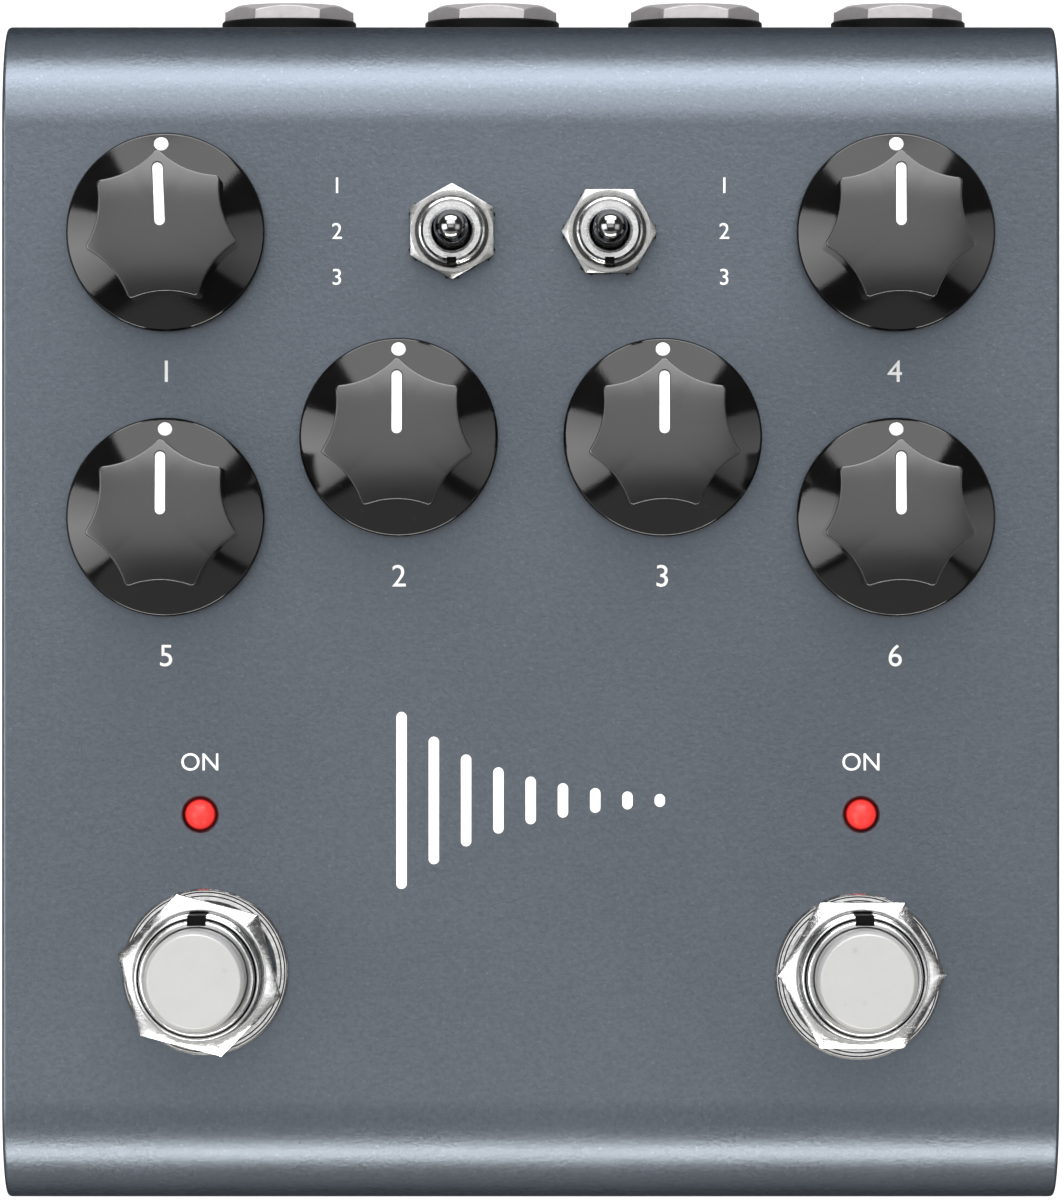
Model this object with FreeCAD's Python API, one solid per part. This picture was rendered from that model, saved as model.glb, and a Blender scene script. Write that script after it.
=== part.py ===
import FreeCAD, Part
import math
import os

os.makedirs("parts", exist_ok=True)

# Case: a shell bent over top, front and rear, and a pan that closes base and ends
case_width = 101.6
case_depth = 113.7
case_height = 41.4
edge_radius = 10.0
shell_wall = 2.0
edge_chamfer = 0.4
rail_width = 9.0
rail_height = 2.0
base_wall = 1.6
end_wall = 1.6
case_gap = 0.2
foot_height = 3.0
foot_radius = 6.0
foot_round = 0.75
foot_inset_x = 12.0
foot_inset_y = 20.0
base_screw_radius = 1.5
base_screw_head = 2.75
base_screw_length = 5.0
base_screw_slot_width = 0.75
base_screw_slot_depth = 1.0
base_screw_inset_x = 8.0

# Places of the controls on the top face
outer_knob_x = 35.0
rear_knob_from_rear = 20.45
middle_knob_x = 12.65
middle_knob_from_rear = 40.1
front_knob_from_rear = 47.75
toggle_x = 7.55
toggle_from_rear = 20.35
footswitch_from_side = 19.05
footswitch_from_front = 22.05
lamp_from_footswitch = 15.35

# Knob: fluted grip over a conical skirt
knob_radius = 9.525
knob_height = 12.5
knob_lift = 0.9
knob_rim = 1.1
knob_skirt_rise = 3.1
knob_points = 7
knob_grip_radius = 7.4
knob_flute_depth = 1.2
knob_point_round = 0.45
knob_crown_radius = 60.0
knob_edge_round = 0.35
knob_side_gap = 0.4
knob_end_gap = 0.5
pointer_width = 1.15
pointer_start = 0.8
pointer_end = 5.9
pointer_depth = 0.25
dot_radius = 0.72
dot_place = 8.45
dot_depth = 0.45

# Potentiometer
pot_width = 9.5
pot_length = 11.4
pot_corner = 1.0
pot_bushing_radius = 3.5
pot_bushing_rise = 4.0
pot_shaft_radius = 3.0
pot_shaft_grip = 6.0
pot_running_gap = 0.05
pot_rotor_radius = 4.1
pot_rotor_height = 1.2
pot_rotor_drop = 3.0
pot_nut_flats = 9.0
pot_nut_height = 1.8
pot_washer_radius = 5.0
pot_washer_height = 0.5
pot_turn_gap = 0.3

# Boards, and the height between panel and main board
board_drop = 9.0
board_thickness = 1.6
board_margin = 1.3
board_side_margin = 4.8
board_front_gap = 1.7
pin_radius = 0.4
pin_gap = 0.1
pin_tail = 1.2
pin_pitch = 2.5

# Small toggle switch
toggle_body_width = 8.0
toggle_body_length = 12.8
toggle_bushing_radius = 3.175
toggle_bushing_rise = 4.6
toggle_thread_pitch = 0.635
toggle_mouth_radius = 1.95
toggle_lip = 0.4
toggle_ball_radius = 2.0
toggle_ball_gap = 0.06
toggle_ball_drop = 2.5
toggle_lever_neck = 1.0
toggle_lever_tip = 1.6
toggle_lever_rise = 9.0
toggle_tail_radius = 0.5
toggle_tail_length = 5.4
toggle_keyway = 0.9
toggle_keyway_depth = 0.6
toggle_nut_flats = 8.0
toggle_nut_height = 2.0
toggle_washer_radius = 4.6
toggle_washer_height = 0.5
toggle_cavity_depth = 5.0

# Lamp
lamp_radius = 1.5
lamp_flange_radius = 1.9
lamp_flange_height = 1.0
lamp_height = 5.3
lamp_rise = 0.9
lamp_hole_gap = 0.17

# Footswitch
switch_body_width = 17.2
switch_body_height = 15.2
switch_body_round = 2.0
switch_bushing_radius = 6.0
switch_bushing_rise = 9.0
switch_thread_pitch = 1.0
switch_keyway = 1.8
switch_keyway_depth = 1.0
switch_nut_flats = 14.0
switch_nut_height = 2.6
switch_lock_nut_height = 2.0
switch_washer_radius = 8.0
switch_washer_height = 0.8
switch_cap_radius = 4.78
switch_cap_rise = 6.0
switch_cap_bevel = 0.4
switch_running_gap = 0.06
switch_flange_width = 0.92
switch_flange_height = 1.5
switch_flange_gap = 0.5
switch_roof = 1.4
switch_floor = 1.2
switch_board_length = 21.0
switch_terminal_pitch = 4.7
spring_radius = 4.6
spring_wire = 0.35
spring_turns = 6
spring_seat_gap = 0.3

# Jack for a 6.35 mm plug
jack_pitch = 20.0
jack_middle_x = 6.2
jack_count = 4
jack_width = 13.8
jack_height = 17.0
jack_axis_drop = 7.9
jack_length = 34.0
jack_bore_radius = 3.3
jack_bore_depth = 35.0
jack_bushing_radius = 4.5
jack_nut_flats = 11.0
jack_nut_height = 1.9
jack_washer_radius = 6.6
jack_washer_height = 0.9
jack_pocket_width = 1.4
jack_contact_width = 3.0
jack_contact_thickness = 0.4
jack_contact_tail = 3.0

# Power inlet for a 5.5 mm plug with a 2.1 mm pin
inlet_from_side = 9.8
inlet_width = 9.0
inlet_height = 11.0
inlet_length = 14.0
inlet_axis_drop = 6.5
inlet_nose_radius = 4.3
inlet_bore_radius = 3.0
inlet_bore_depth = 10.0
inlet_pin_radius = 1.0
inlet_pin_seat = 2.0
inlet_recess = 0.2

# Electronics below the main board
processor_size = 12.0
processor_height = 1.4
memory_length = 6.0
memory_width = 5.0
memory_height = 1.2
memory_pitch = 9.0
amplifier_pitch = 14.0
amplifier_gap = 0.6
capacitor_radius = 3.15
capacitor_height = 7.7
capacitor_pitch = 9.0
header_width = 13.0
header_length = 3.0
header_height = 2.0
ribbon_width = 11.0
ribbon_thickness = 0.5
ribbon_bend = 1.0

# General clearances, and how far a cutting block runs past what it cuts
hole_gap = 0.1
thread_gap = 0.05
overrun = 1.0
nut_bevel_angle = 30.0
thread_depth_share = 0.45
thread_crest_share = 0.08

# Levels, counted up from the floor
base_z = foot_height
base_top_z = base_z + base_wall
face_z = base_z + case_height
panel_z = face_z - shell_wall
board_top_z = panel_z - board_drop
board_z = board_top_z - board_thickness

# The jacks' nuts stand out at the rear, so the case sits half of that nearer the front
rear_reach = jack_washer_height + jack_nut_height
centre_y = -rear_reach / 2
rear_y = centre_y + case_depth / 2
front_y = centre_y - case_depth / 2
half_width = case_width / 2
jack_z = board_z - jack_axis_drop
inlet_z = board_z - inlet_axis_drop
inlet_x = -half_width + inlet_from_side
footswitch_x = half_width - footswitch_from_side
footswitch_y = front_y + footswitch_from_front
lamp_y = footswitch_y + lamp_from_footswitch
board_front_y = footswitch_y + switch_board_length / 2 + board_front_gap
jack_first_x = jack_middle_x - jack_pitch * (jack_count - 1) / 2

UP = FreeCAD.Vector(0, 0, 1)
BACK = FreeCAD.Vector(0, 1, 0)
ACROSS = FreeCAD.Vector(1, 0, 0)


def at(x, y, z):
    return FreeCAD.Vector(x, y, z)


def box(x0, x1, y0, y1, z0, z1):
    return Part.makeBox(x1 - x0, y1 - y0, z1 - z0, at(x0, y0, z0))


def rod(x, y, z, radius, height, direction=UP):
    return Part.makeCylinder(radius, height, at(x, y, z), direction)


def lathe(points):
    """Turn a closed outline of (radius, height) points about the upright axis."""
    corners = [at(r, 0, z) for r, z in points]
    face = Part.Face(Part.makePolygon(corners + corners[:1]))
    return face.revolve(at(0, 0, 0), UP, 360)


def save(name, solids):
    shape = solids[0] if len(solids) == 1 else Part.makeCompound(solids)
    shape.exportStep("parts/" + name + ".step")


def moved(shape, x, y, z):
    copy = shape.copy()
    copy.translate(at(x, y, z))
    return copy


def hex_nut(flats, height, bore_radius, turn):
    """A nut with bevelled corners on both faces, standing on z = 0."""
    corner_radius = flats / math.sqrt(3)
    corners = []
    for side in range(6):
        angle = math.radians(turn + 60 * side)
        corners.append(at(corner_radius * math.cos(angle), corner_radius * math.sin(angle), 0))
    prism = Part.Face(Part.makePolygon(corners + corners[:1])).extrude(at(0, 0, height))
    bevel = (corner_radius - flats / 2) * math.tan(math.radians(nut_bevel_angle))
    flat_radius = flats / 2
    turned = lathe([
        (0, 0),
        (flat_radius, 0),
        (corner_radius, bevel),
        (corner_radius, height - bevel),
        (flat_radius, height),
        (0, height),
    ])
    return prism.common(turned).cut(rod(0, 0, 0, bore_radius, height))


def washer(radius, height, bore_radius):
    return rod(0, 0, 0, radius, height).cut(rod(0, 0, 0, bore_radius, height))


def cut_thread(shape, radius, low_z, high_z, pitch):
    """Cut V grooves of a thread's pitch round an upright bushing."""
    depth = pitch * thread_depth_share
    turns = int((high_z - low_z) / pitch)
    for turn in range(turns):
        top_z = high_z - turn * pitch
        groove = lathe([
            (radius, top_z - pitch * thread_crest_share),
            (radius - depth, top_z - pitch / 2),
            (radius, top_z - pitch * (1 - thread_crest_share)),
            (radius + depth, top_z - pitch / 2),
        ])
        shape = shape.cut(groove)
    return shape


def rounded_block(width, length, height, radius):
    """A block with rounded upright edges, its middle on x = y = 0 and its base on z = 0."""
    block = box(-width / 2, width / 2, -length / 2, length / 2, 0, height)
    upright = [e for e in block.Edges if abs(e.tangentAt(e.FirstParameter).z) > 0.9]
    return block.makeFillet(radius, upright)


# Controls, named by where they are for the player
knob_places = {
    "rear_left": (-outer_knob_x, rear_y - rear_knob_from_rear),
    "rear_right": (outer_knob_x, rear_y - rear_knob_from_rear),
    "middle_left": (-middle_knob_x, rear_y - middle_knob_from_rear),
    "middle_right": (middle_knob_x, rear_y - middle_knob_from_rear),
    "front_left": (-outer_knob_x, rear_y - front_knob_from_rear),
    "front_right": (outer_knob_x, rear_y - front_knob_from_rear),
}
toggle_places = {
    "left": (-toggle_x, rear_y - toggle_from_rear),
    "right": (toggle_x, rear_y - toggle_from_rear),
}
lamp_places = {
    "left": (-footswitch_x, lamp_y),
    "right": (footswitch_x, lamp_y),
}
footswitch_places = {
    "left": (-footswitch_x, footswitch_y),
    "right": (footswitch_x, footswitch_y),
}
jack_places = [jack_first_x + jack_pitch * number for number in range(jack_count)]
screw_places = []
foot_places = []
for side in (-1, 1):
    for end in (-1, 1):
        screw_x = side * (half_width - base_screw_inset_x)
        screw_y = centre_y + end * (case_depth / 2 - shell_wall - rail_width / 2)
        screw_places.append((screw_x, screw_y))
        foot_x = side * (half_width - foot_inset_x)
        foot_y = centre_y + end * (case_depth / 2 - foot_inset_y)
        foot_places.append((foot_x, foot_y))


def wrap_outline(inset, bottom_z):
    """The case's end outline, drawn in by an inset, from the floor side up and over."""
    radius = edge_radius - inset
    low_y = front_y + inset
    high_y = rear_y - inset
    top_z = face_z - inset
    slack = radius * (1 - math.sqrt(0.5))
    x = -half_width
    return [
        Part.LineSegment(at(x, low_y, bottom_z), at(x, low_y, top_z - radius)),
        Part.Arc(
            at(x, low_y, top_z - radius),
            at(x, low_y + slack, top_z - slack),
            at(x, low_y + radius, top_z),
        ),
        Part.LineSegment(at(x, low_y + radius, top_z), at(x, high_y - radius, top_z)),
        Part.Arc(
            at(x, high_y - radius, top_z),
            at(x, high_y - slack, top_z - slack),
            at(x, high_y, top_z - radius),
        ),
        Part.LineSegment(at(x, high_y, top_z - radius), at(x, high_y, bottom_z)),
        Part.LineSegment(at(x, high_y, bottom_z), at(x, low_y, bottom_z)),
    ]


def wrap_solid(inset, bottom_z, x0, x1):
    edges = [curve.toShape() for curve in wrap_outline(inset, bottom_z)]
    face = Part.Face(Part.Wire(edges))
    return moved(face.extrude(at(x1 - x0, 0, 0)), x0 + half_width, 0, 0)


def make_top_shell():
    """The wrap, with a hole for every bushing, lamp and socket."""
    outer = wrap_solid(0, base_top_z, -half_width, half_width)
    low_z = base_top_z + overrun
    ends = [e for e in outer.Edges if abs(abs(e.CenterOfMass.x) - half_width) < edge_chamfer]
    outer = outer.makeChamfer(edge_chamfer, [e for e in ends if e.CenterOfMass.z > low_z])
    reach_x = half_width + overrun
    shell = outer.cut(wrap_solid(shell_wall, base_top_z - overrun, -reach_x, reach_x))
    for x, y in knob_places.values():
        shell = shell.cut(rod(x, y, panel_z, pot_bushing_radius + hole_gap, shell_wall))
    for x, y in toggle_places.values():
        shell = shell.cut(rod(x, y, panel_z, toggle_bushing_radius + hole_gap, shell_wall))
    for x, y in lamp_places.values():
        shell = shell.cut(rod(x, y, panel_z, lamp_radius + lamp_hole_gap, shell_wall))
    for x, y in footswitch_places.values():
        shell = shell.cut(rod(x, y, panel_z, switch_bushing_radius + hole_gap, shell_wall))
    for x in jack_places:
        hole = rod(x, rear_y - shell_wall, jack_z, jack_bushing_radius + hole_gap, shell_wall, BACK)
        shell = shell.cut(hole)
    nose_hole = inlet_nose_radius + hole_gap
    shell = shell.cut(rod(inlet_x, rear_y - shell_wall, inlet_z, nose_hole, shell_wall, BACK))
    save("top_shell", [shell.removeSplitter()])


def make_screw_rails():
    """Two threaded rails inside the front and the rear wall, which take the base screws."""
    reach_x = half_width - end_wall - 2 * case_gap
    front_rail_y = front_y + shell_wall
    rear_rail_y = rear_y - shell_wall - rail_width
    rails = []
    for rail_y in (front_rail_y, rear_rail_y):
        top_z = base_top_z + rail_height
        rail = box(-reach_x, reach_x, rail_y, rail_y + rail_width, base_top_z, top_z)
        for x, y in screw_places:
            if rail_y < y < rail_y + rail_width:
                rail = rail.cut(rod(x, y, base_top_z, base_screw_radius + thread_gap, rail_height))
        rails.append(rail)
    save("screw_rails", rails)


def make_base_pan():
    edge_y = shell_wall + case_gap
    outer_x = half_width - case_gap
    pan = box(-outer_x, outer_x, front_y + edge_chamfer, rear_y - edge_chamfer, base_z, base_top_z)
    for side in (-1, 1):
        x0 = min(side * outer_x, side * (outer_x - end_wall))
        pan = pan.fuse(wrap_solid(edge_y, base_z, x0, x0 + end_wall))
    head_drop = base_screw_head - base_screw_radius
    for x, y in screw_places:
        pan = pan.cut(rod(x, y, base_z, base_screw_radius + hole_gap, base_wall))
        sink = Part.makeCone(
            base_screw_head + hole_gap, base_screw_radius + hole_gap, head_drop, at(x, y, base_z)
        )
        pan = pan.cut(sink)
    save("base_pan", [pan.removeSplitter()])


def make_base_screws():
    head_drop = base_screw_head - base_screw_radius
    shank = rod(0, 0, 0, base_screw_radius, base_screw_length)
    screw = shank.fuse(Part.makeCone(base_screw_head, base_screw_radius, head_drop))
    half_length = base_screw_head / 2
    half_width_of_slot = base_screw_slot_width / 2
    for turn in (45, 135):
        slot = box(
            -half_length, half_length, -half_width_of_slot, half_width_of_slot, 0, base_screw_slot_depth
        )
        slot.rotate(at(0, 0, 0), UP, turn)
        screw = screw.cut(slot)
    save("base_screws", [moved(screw, x, y, base_z) for x, y in screw_places])


def make_feet():
    foot = rod(0, 0, 0, foot_radius, foot_height)
    floor_edge = [e for e in foot.Edges if e.CenterOfMass.z < foot_round and len(e.Vertexes) == 1]
    foot = foot.makeFillet(foot_round, floor_edge)
    save("rubber_feet", [moved(foot, x, y, 0) for x, y in foot_places])


def polar(radius, angle, z):
    return at(radius * math.cos(angle), radius * math.sin(angle), z)


def grip_outline(z):
    """A star of round points joined by hollow flutes, each tangent to the next."""
    half_step = math.pi / knob_points
    round_centre = knob_grip_radius - knob_point_round
    floor_radius = knob_grip_radius - knob_flute_depth
    chord = round_centre ** 2 + floor_radius ** 2 - 2 * round_centre * floor_radius * math.cos(half_step)
    spare = round_centre * math.cos(half_step) + knob_point_round - floor_radius
    flute_curve = (chord - knob_point_round ** 2) / (2 * spare)
    edges = []
    for point in range(knob_points):
        angle = math.pi / 2 + 2 * half_step * point
        centre = polar(round_centre, angle, z)
        next_centre = polar(round_centre, angle + 2 * half_step, z)
        flute = polar(floor_radius + flute_curve, angle + half_step, z)
        flute_before = polar(floor_radius + flute_curve, angle - half_step, z)
        start = centre + (flute_before - centre).normalize() * knob_point_round
        middle = centre + (flute - centre).normalize() * knob_point_round
        end = next_centre + (flute - next_centre).normalize() * knob_point_round
        edges.append(Part.Arc(start, polar(knob_grip_radius, angle, z), middle).toShape())
        edges.append(Part.Arc(middle, polar(floor_radius, angle + half_step, z), end).toShape())
    return Part.Wire(edges)


def make_knobs():
    """A domed grip with concave flutes on a cone, hollow below, pushed onto the shaft."""
    crown_centre = at(0, 0, knob_height - knob_crown_radius)
    grip = Part.Face(grip_outline(knob_rim)).extrude(at(0, 0, knob_height - knob_rim))
    grip = grip.common(Part.makeSphere(knob_crown_radius, crown_centre))
    crown = [face for face in grip.Faces if face.Surface.TypeId == "Part::GeomSphere"]
    grip = grip.makeFillet(knob_edge_round, [edge for face in crown for edge in face.Edges])
    floor_radius = knob_grip_radius - knob_flute_depth
    skirt = lathe([
        (0, 0),
        (knob_radius, 0),
        (knob_radius, knob_rim),
        (floor_radius, knob_skirt_rise),
        (0, knob_skirt_rise),
    ])
    knob = grip.fuse(skirt)
    nut_room = pot_nut_flats / math.sqrt(3) + knob_side_gap
    nut_top = pot_washer_height + pot_nut_height - knob_lift + knob_end_gap
    bushing_top = pot_bushing_rise - knob_lift + knob_end_gap
    shaft_top = pot_bushing_rise + pot_shaft_grip - knob_lift + knob_end_gap
    knob = knob.cut(rod(0, 0, 0, nut_room, nut_top))
    knob = knob.cut(rod(0, 0, 0, pot_bushing_radius + knob_side_gap, bushing_top))
    knob = knob.cut(rod(0, 0, 0, pot_shaft_radius + thread_gap, shaft_top))
    half_pointer = pointer_width / 2
    groove = box(-half_pointer, half_pointer, pointer_start, pointer_end, knob_skirt_rise, knob_height)
    for end_y in (pointer_start, pointer_end):
        groove = groove.fuse(rod(0, end_y, knob_skirt_rise, half_pointer, knob_height - knob_skirt_rise))
    groove = groove.cut(Part.makeSphere(knob_crown_radius - pointer_depth, crown_centre))
    knob = knob.cut(groove)
    slope = (knob_skirt_rise - knob_rim) / (knob_radius - floor_radius)
    dot_z = knob_rim + (knob_radius - dot_place) * slope - dot_depth
    knob = knob.cut(rod(0, dot_place, dot_z, dot_radius, knob_skirt_rise))
    for name, (x, y) in knob_places.items():
        save("knob_" + name, [moved(knob, x, y, face_z + knob_lift)])


def make_potentiometers():
    bore = pot_shaft_radius + pot_running_gap
    rotor_room = pot_rotor_radius + pot_turn_gap
    body = rounded_block(pot_width, pot_length, board_drop, pot_corner)
    body = moved(body, 0, 0, board_top_z)
    body = body.fuse(rod(0, 0, panel_z, pot_bushing_radius, shell_wall + pot_bushing_rise))
    rotor_top = panel_z - pot_rotor_drop
    rotor_z = rotor_top - pot_rotor_height
    body = body.cut(rod(0, 0, rotor_top, bore, face_z + pot_bushing_rise - rotor_top))
    room_height = pot_rotor_height + 2 * pot_turn_gap
    body = body.cut(rod(0, 0, rotor_z - pot_turn_gap, rotor_room, room_height))
    for number in (-1, 0, 1):
        pin = rod(number * pin_pitch, -pot_length / 3, board_z, pin_radius, board_thickness)
        body = body.fuse(pin)
    shaft_top = face_z + pot_bushing_rise + pot_shaft_grip
    shaft = rod(0, 0, rotor_z, pot_shaft_radius, shaft_top - rotor_z)
    shaft = shaft.fuse(rod(0, 0, rotor_z, pot_rotor_radius, pot_rotor_height))
    shaft = shaft.removeSplitter()
    for name, (x, y) in knob_places.items():
        save("potentiometer_" + name, [moved(body, x, y, 0)])
        save("shaft_" + name, [moved(shaft, x, y, 0)])
    ring = washer(pot_washer_radius, pot_washer_height, pot_bushing_radius + thread_gap)
    nut = hex_nut(pot_nut_flats, pot_nut_height, pot_bushing_radius + thread_gap, 0)
    nut_z = face_z + pot_washer_height
    save("potentiometer_washers", [moved(ring, x, y, face_z) for x, y in knob_places.values()])
    save("potentiometer_nuts", [moved(nut, x, y, nut_z) for x, y in knob_places.values()])


def make_toggles():
    """A ball lever in a threaded bushing, in its middle position."""
    top_z = face_z + toggle_bushing_rise
    ball_z = top_z - toggle_ball_drop
    body = rounded_block(toggle_body_width, toggle_body_length, board_drop, pot_corner)
    body = moved(body, 0, 0, board_top_z)
    body = body.fuse(rod(0, 0, panel_z, toggle_bushing_radius, top_z - panel_z))
    nut_top = face_z + toggle_washer_height + toggle_nut_height
    body = cut_thread(body, toggle_bushing_radius, nut_top, top_z, toggle_thread_pitch)
    seat_radius = toggle_ball_radius + toggle_ball_gap
    seat_top = top_z - toggle_lip
    cavity_z = panel_z - toggle_cavity_depth
    body = body.cut(rod(0, 0, cavity_z, seat_radius, seat_top - cavity_z))
    body = body.cut(rod(0, 0, seat_top, toggle_mouth_radius, toggle_lip))
    half_key = toggle_keyway / 2
    key_y = toggle_bushing_radius - toggle_keyway_depth
    keyway = box(-half_key, half_key, -toggle_bushing_radius - overrun, -key_y, panel_z, top_z)
    body = body.cut(keyway)
    tip_z = top_z + toggle_lever_rise - toggle_lever_tip
    lever = Part.makeSphere(toggle_ball_radius, at(0, 0, ball_z))
    stem = Part.makeCone(toggle_lever_neck, toggle_lever_tip, tip_z - ball_z, at(0, 0, ball_z))
    lever = lever.fuse(stem)
    lever = lever.fuse(Part.makeSphere(toggle_lever_tip, at(0, 0, tip_z)))
    lever = lever.fuse(rod(0, 0, ball_z - toggle_tail_length, toggle_tail_radius, toggle_tail_length))
    for name, (x, y) in toggle_places.items():
        save("toggle_switch_" + name, [moved(body, x, y, 0)])
        save("toggle_lever_" + name, [moved(lever, x, y, 0)])
    bore = toggle_bushing_radius + thread_gap
    ring = washer(toggle_washer_radius, toggle_washer_height, bore)
    nut_turns = {"left": 30, "right": 0}
    nuts = []
    rings = []
    for name, (x, y) in toggle_places.items():
        nut = hex_nut(toggle_nut_flats, toggle_nut_height, bore, nut_turns[name])
        nuts.append(moved(nut, x, y, face_z + toggle_washer_height))
        rings.append(moved(ring, x, y, face_z))
    save("toggle_nuts", nuts)
    save("toggle_washers", rings)


def make_lamps():
    """Round-topped lamps on spacers that stand on the board."""
    top_z = face_z + lamp_rise
    foot_z = top_z - lamp_height
    lamp = rod(0, 0, foot_z, lamp_radius, lamp_height - lamp_radius)
    lamp = lamp.fuse(Part.makeSphere(lamp_radius, at(0, 0, top_z - lamp_radius)))
    lamp = lamp.fuse(rod(0, 0, foot_z, lamp_flange_radius, lamp_flange_height))
    lamp = lamp.removeSplitter()
    spacer = rod(0, 0, board_top_z, lamp_flange_radius, foot_z - board_top_z)
    for name, (x, y) in lamp_places.items():
        save("lamp_" + name, [moved(lamp, x, y, 0)])
    save("lamp_spacers", [moved(spacer, x, y, 0) for x, y in lamp_places.values()])


def arc_between(start, end, tangent):
    """The arc that leaves start along tangent and ends at end."""
    chord = end - start
    along = FreeCAD.Vector(chord).normalize()
    side = tangent - along * tangent.dot(along)
    side.normalize()
    bulge = chord.Length / 2 * math.tan(tangent.getAngle(along) / 2)
    return Part.Arc(start, (start + end) * 0.5 + side * bulge, end)


def coil_path(radius, height, turns):
    """A helix as pairs of tangent arcs, two to each quarter turn."""
    rise = height / (2 * math.pi * turns)
    points = []
    tangents = []
    for quarter in range(4 * turns + 1):
        angle = math.pi / 2 * quarter
        points.append(at(radius * math.cos(angle), radius * math.sin(angle), rise * angle))
        tangent = at(-radius * math.sin(angle), radius * math.cos(angle), rise)
        tangents.append(tangent.normalize())
    edges = []
    for quarter in range(4 * turns):
        start = points[quarter]
        end = points[quarter + 1]
        leave = tangents[quarter]
        arrive = tangents[quarter + 1]
        chord = end - start
        both = chord.dot(leave + arrive)
        spread = 2 * (1 - leave.dot(arrive))
        reach = (math.sqrt(both ** 2 + spread * chord.dot(chord)) - both) / spread
        middle = (start + leave * reach + end - arrive * reach) * 0.5
        turned = (end - arrive * reach - start - leave * reach).normalize()
        edges.append(arc_between(start, middle, leave).toShape())
        edges.append(arc_between(middle, end, turned).toShape())
    return Part.Wire(edges)


def make_spring(radius, wire_radius, height, turns):
    path = coil_path(radius, height, turns)
    first = path.Edges[0]
    start = first.FirstParameter
    circle = Part.Circle(first.valueAt(start), first.tangentAt(start), wire_radius)
    section = Part.Wire([circle.toShape()])
    climb = math.atan(height / turns / (2 * math.pi * radius))
    gap = height / turns * math.cos(climb) - 2 * wire_radius
    print("footswitch spring, least gap between turns: %.2f mm" % gap)
    return path.makePipeShell([section], True, False)


def make_footswitches():
    """A sprung button in a threaded bushing over a square housing."""
    housing_top = panel_z - switch_lock_nut_height
    housing_z = housing_top - switch_body_height
    bushing_top = face_z + switch_bushing_rise
    body = rounded_block(switch_body_width, switch_body_width, switch_body_height, switch_body_round)
    body = moved(body, 0, 0, housing_z)
    body = body.fuse(rod(0, 0, housing_top, switch_bushing_radius, bushing_top - housing_top))
    cavity_top = housing_top - switch_roof
    cavity_z = housing_z + switch_floor
    flange_radius = switch_cap_radius + switch_flange_width
    cavity_radius = flange_radius + switch_flange_gap
    nut_top = face_z + switch_washer_height + switch_nut_height
    body = cut_thread(body, switch_bushing_radius, nut_top, bushing_top, switch_thread_pitch)
    body = body.cut(rod(0, 0, cavity_z, cavity_radius, cavity_top - cavity_z))
    bore = switch_cap_radius + switch_running_gap
    body = body.cut(rod(0, 0, cavity_top, bore, bushing_top - cavity_top))
    half_key = switch_keyway / 2
    key_y = switch_bushing_radius - switch_keyway_depth
    keyway = box(-half_key, half_key, key_y, switch_bushing_radius + overrun, housing_top, bushing_top)
    body = body.cut(keyway)
    for number in (-1, 0, 1):
        x = number * switch_terminal_pitch
        pin = rod(x, 0, housing_z - board_thickness - pin_tail, pin_radius, board_thickness + pin_tail)
        body = body.fuse(pin)
    cap_top = bushing_top + switch_cap_rise
    flange_top = cavity_top - switch_running_gap
    button = rod(0, 0, flange_top, switch_cap_radius, cap_top - flange_top)
    high_z = cap_top - switch_cap_bevel
    top_edge = [e for e in button.Edges if e.CenterOfMass.z > high_z and len(e.Vertexes) == 1]
    button = button.makeChamfer(switch_cap_bevel, top_edge)
    flange_z = flange_top - switch_flange_height
    button = button.fuse(rod(0, 0, flange_z, flange_radius, switch_flange_height))
    spring_room = flange_z - cavity_z - 2 * spring_seat_gap - 2 * spring_wire
    spring = make_spring(spring_radius, spring_wire, spring_room, spring_turns)
    spring = moved(spring, 0, 0, cavity_z + spring_seat_gap + spring_wire)
    for name, (x, y) in footswitch_places.items():
        save("footswitch_" + name, [moved(body, x, y, 0)])
        save("button_" + name, [moved(button, x, y, 0)])
        save("button_spring_" + name, [moved(spring, x, y, 0)])
    bore = switch_bushing_radius + thread_gap
    ring = washer(switch_washer_radius, switch_washer_height, bore)
    nut_turns = {"left": 52, "right": 0}
    nuts = []
    rings = []
    lock_nuts = []
    for name, (x, y) in footswitch_places.items():
        nut = hex_nut(switch_nut_flats, switch_nut_height, bore, nut_turns[name])
        nuts.append(moved(nut, x, y, face_z + switch_washer_height))
        rings.append(moved(ring, x, y, face_z))
        lock_nut = hex_nut(switch_nut_flats, switch_lock_nut_height, bore, 0)
        lock_nuts.append(moved(lock_nut, x, y, panel_z - switch_lock_nut_height))
    save("footswitch_nuts", nuts)
    save("footswitch_washers", rings)
    save("footswitch_lock_nuts", lock_nuts)


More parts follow.
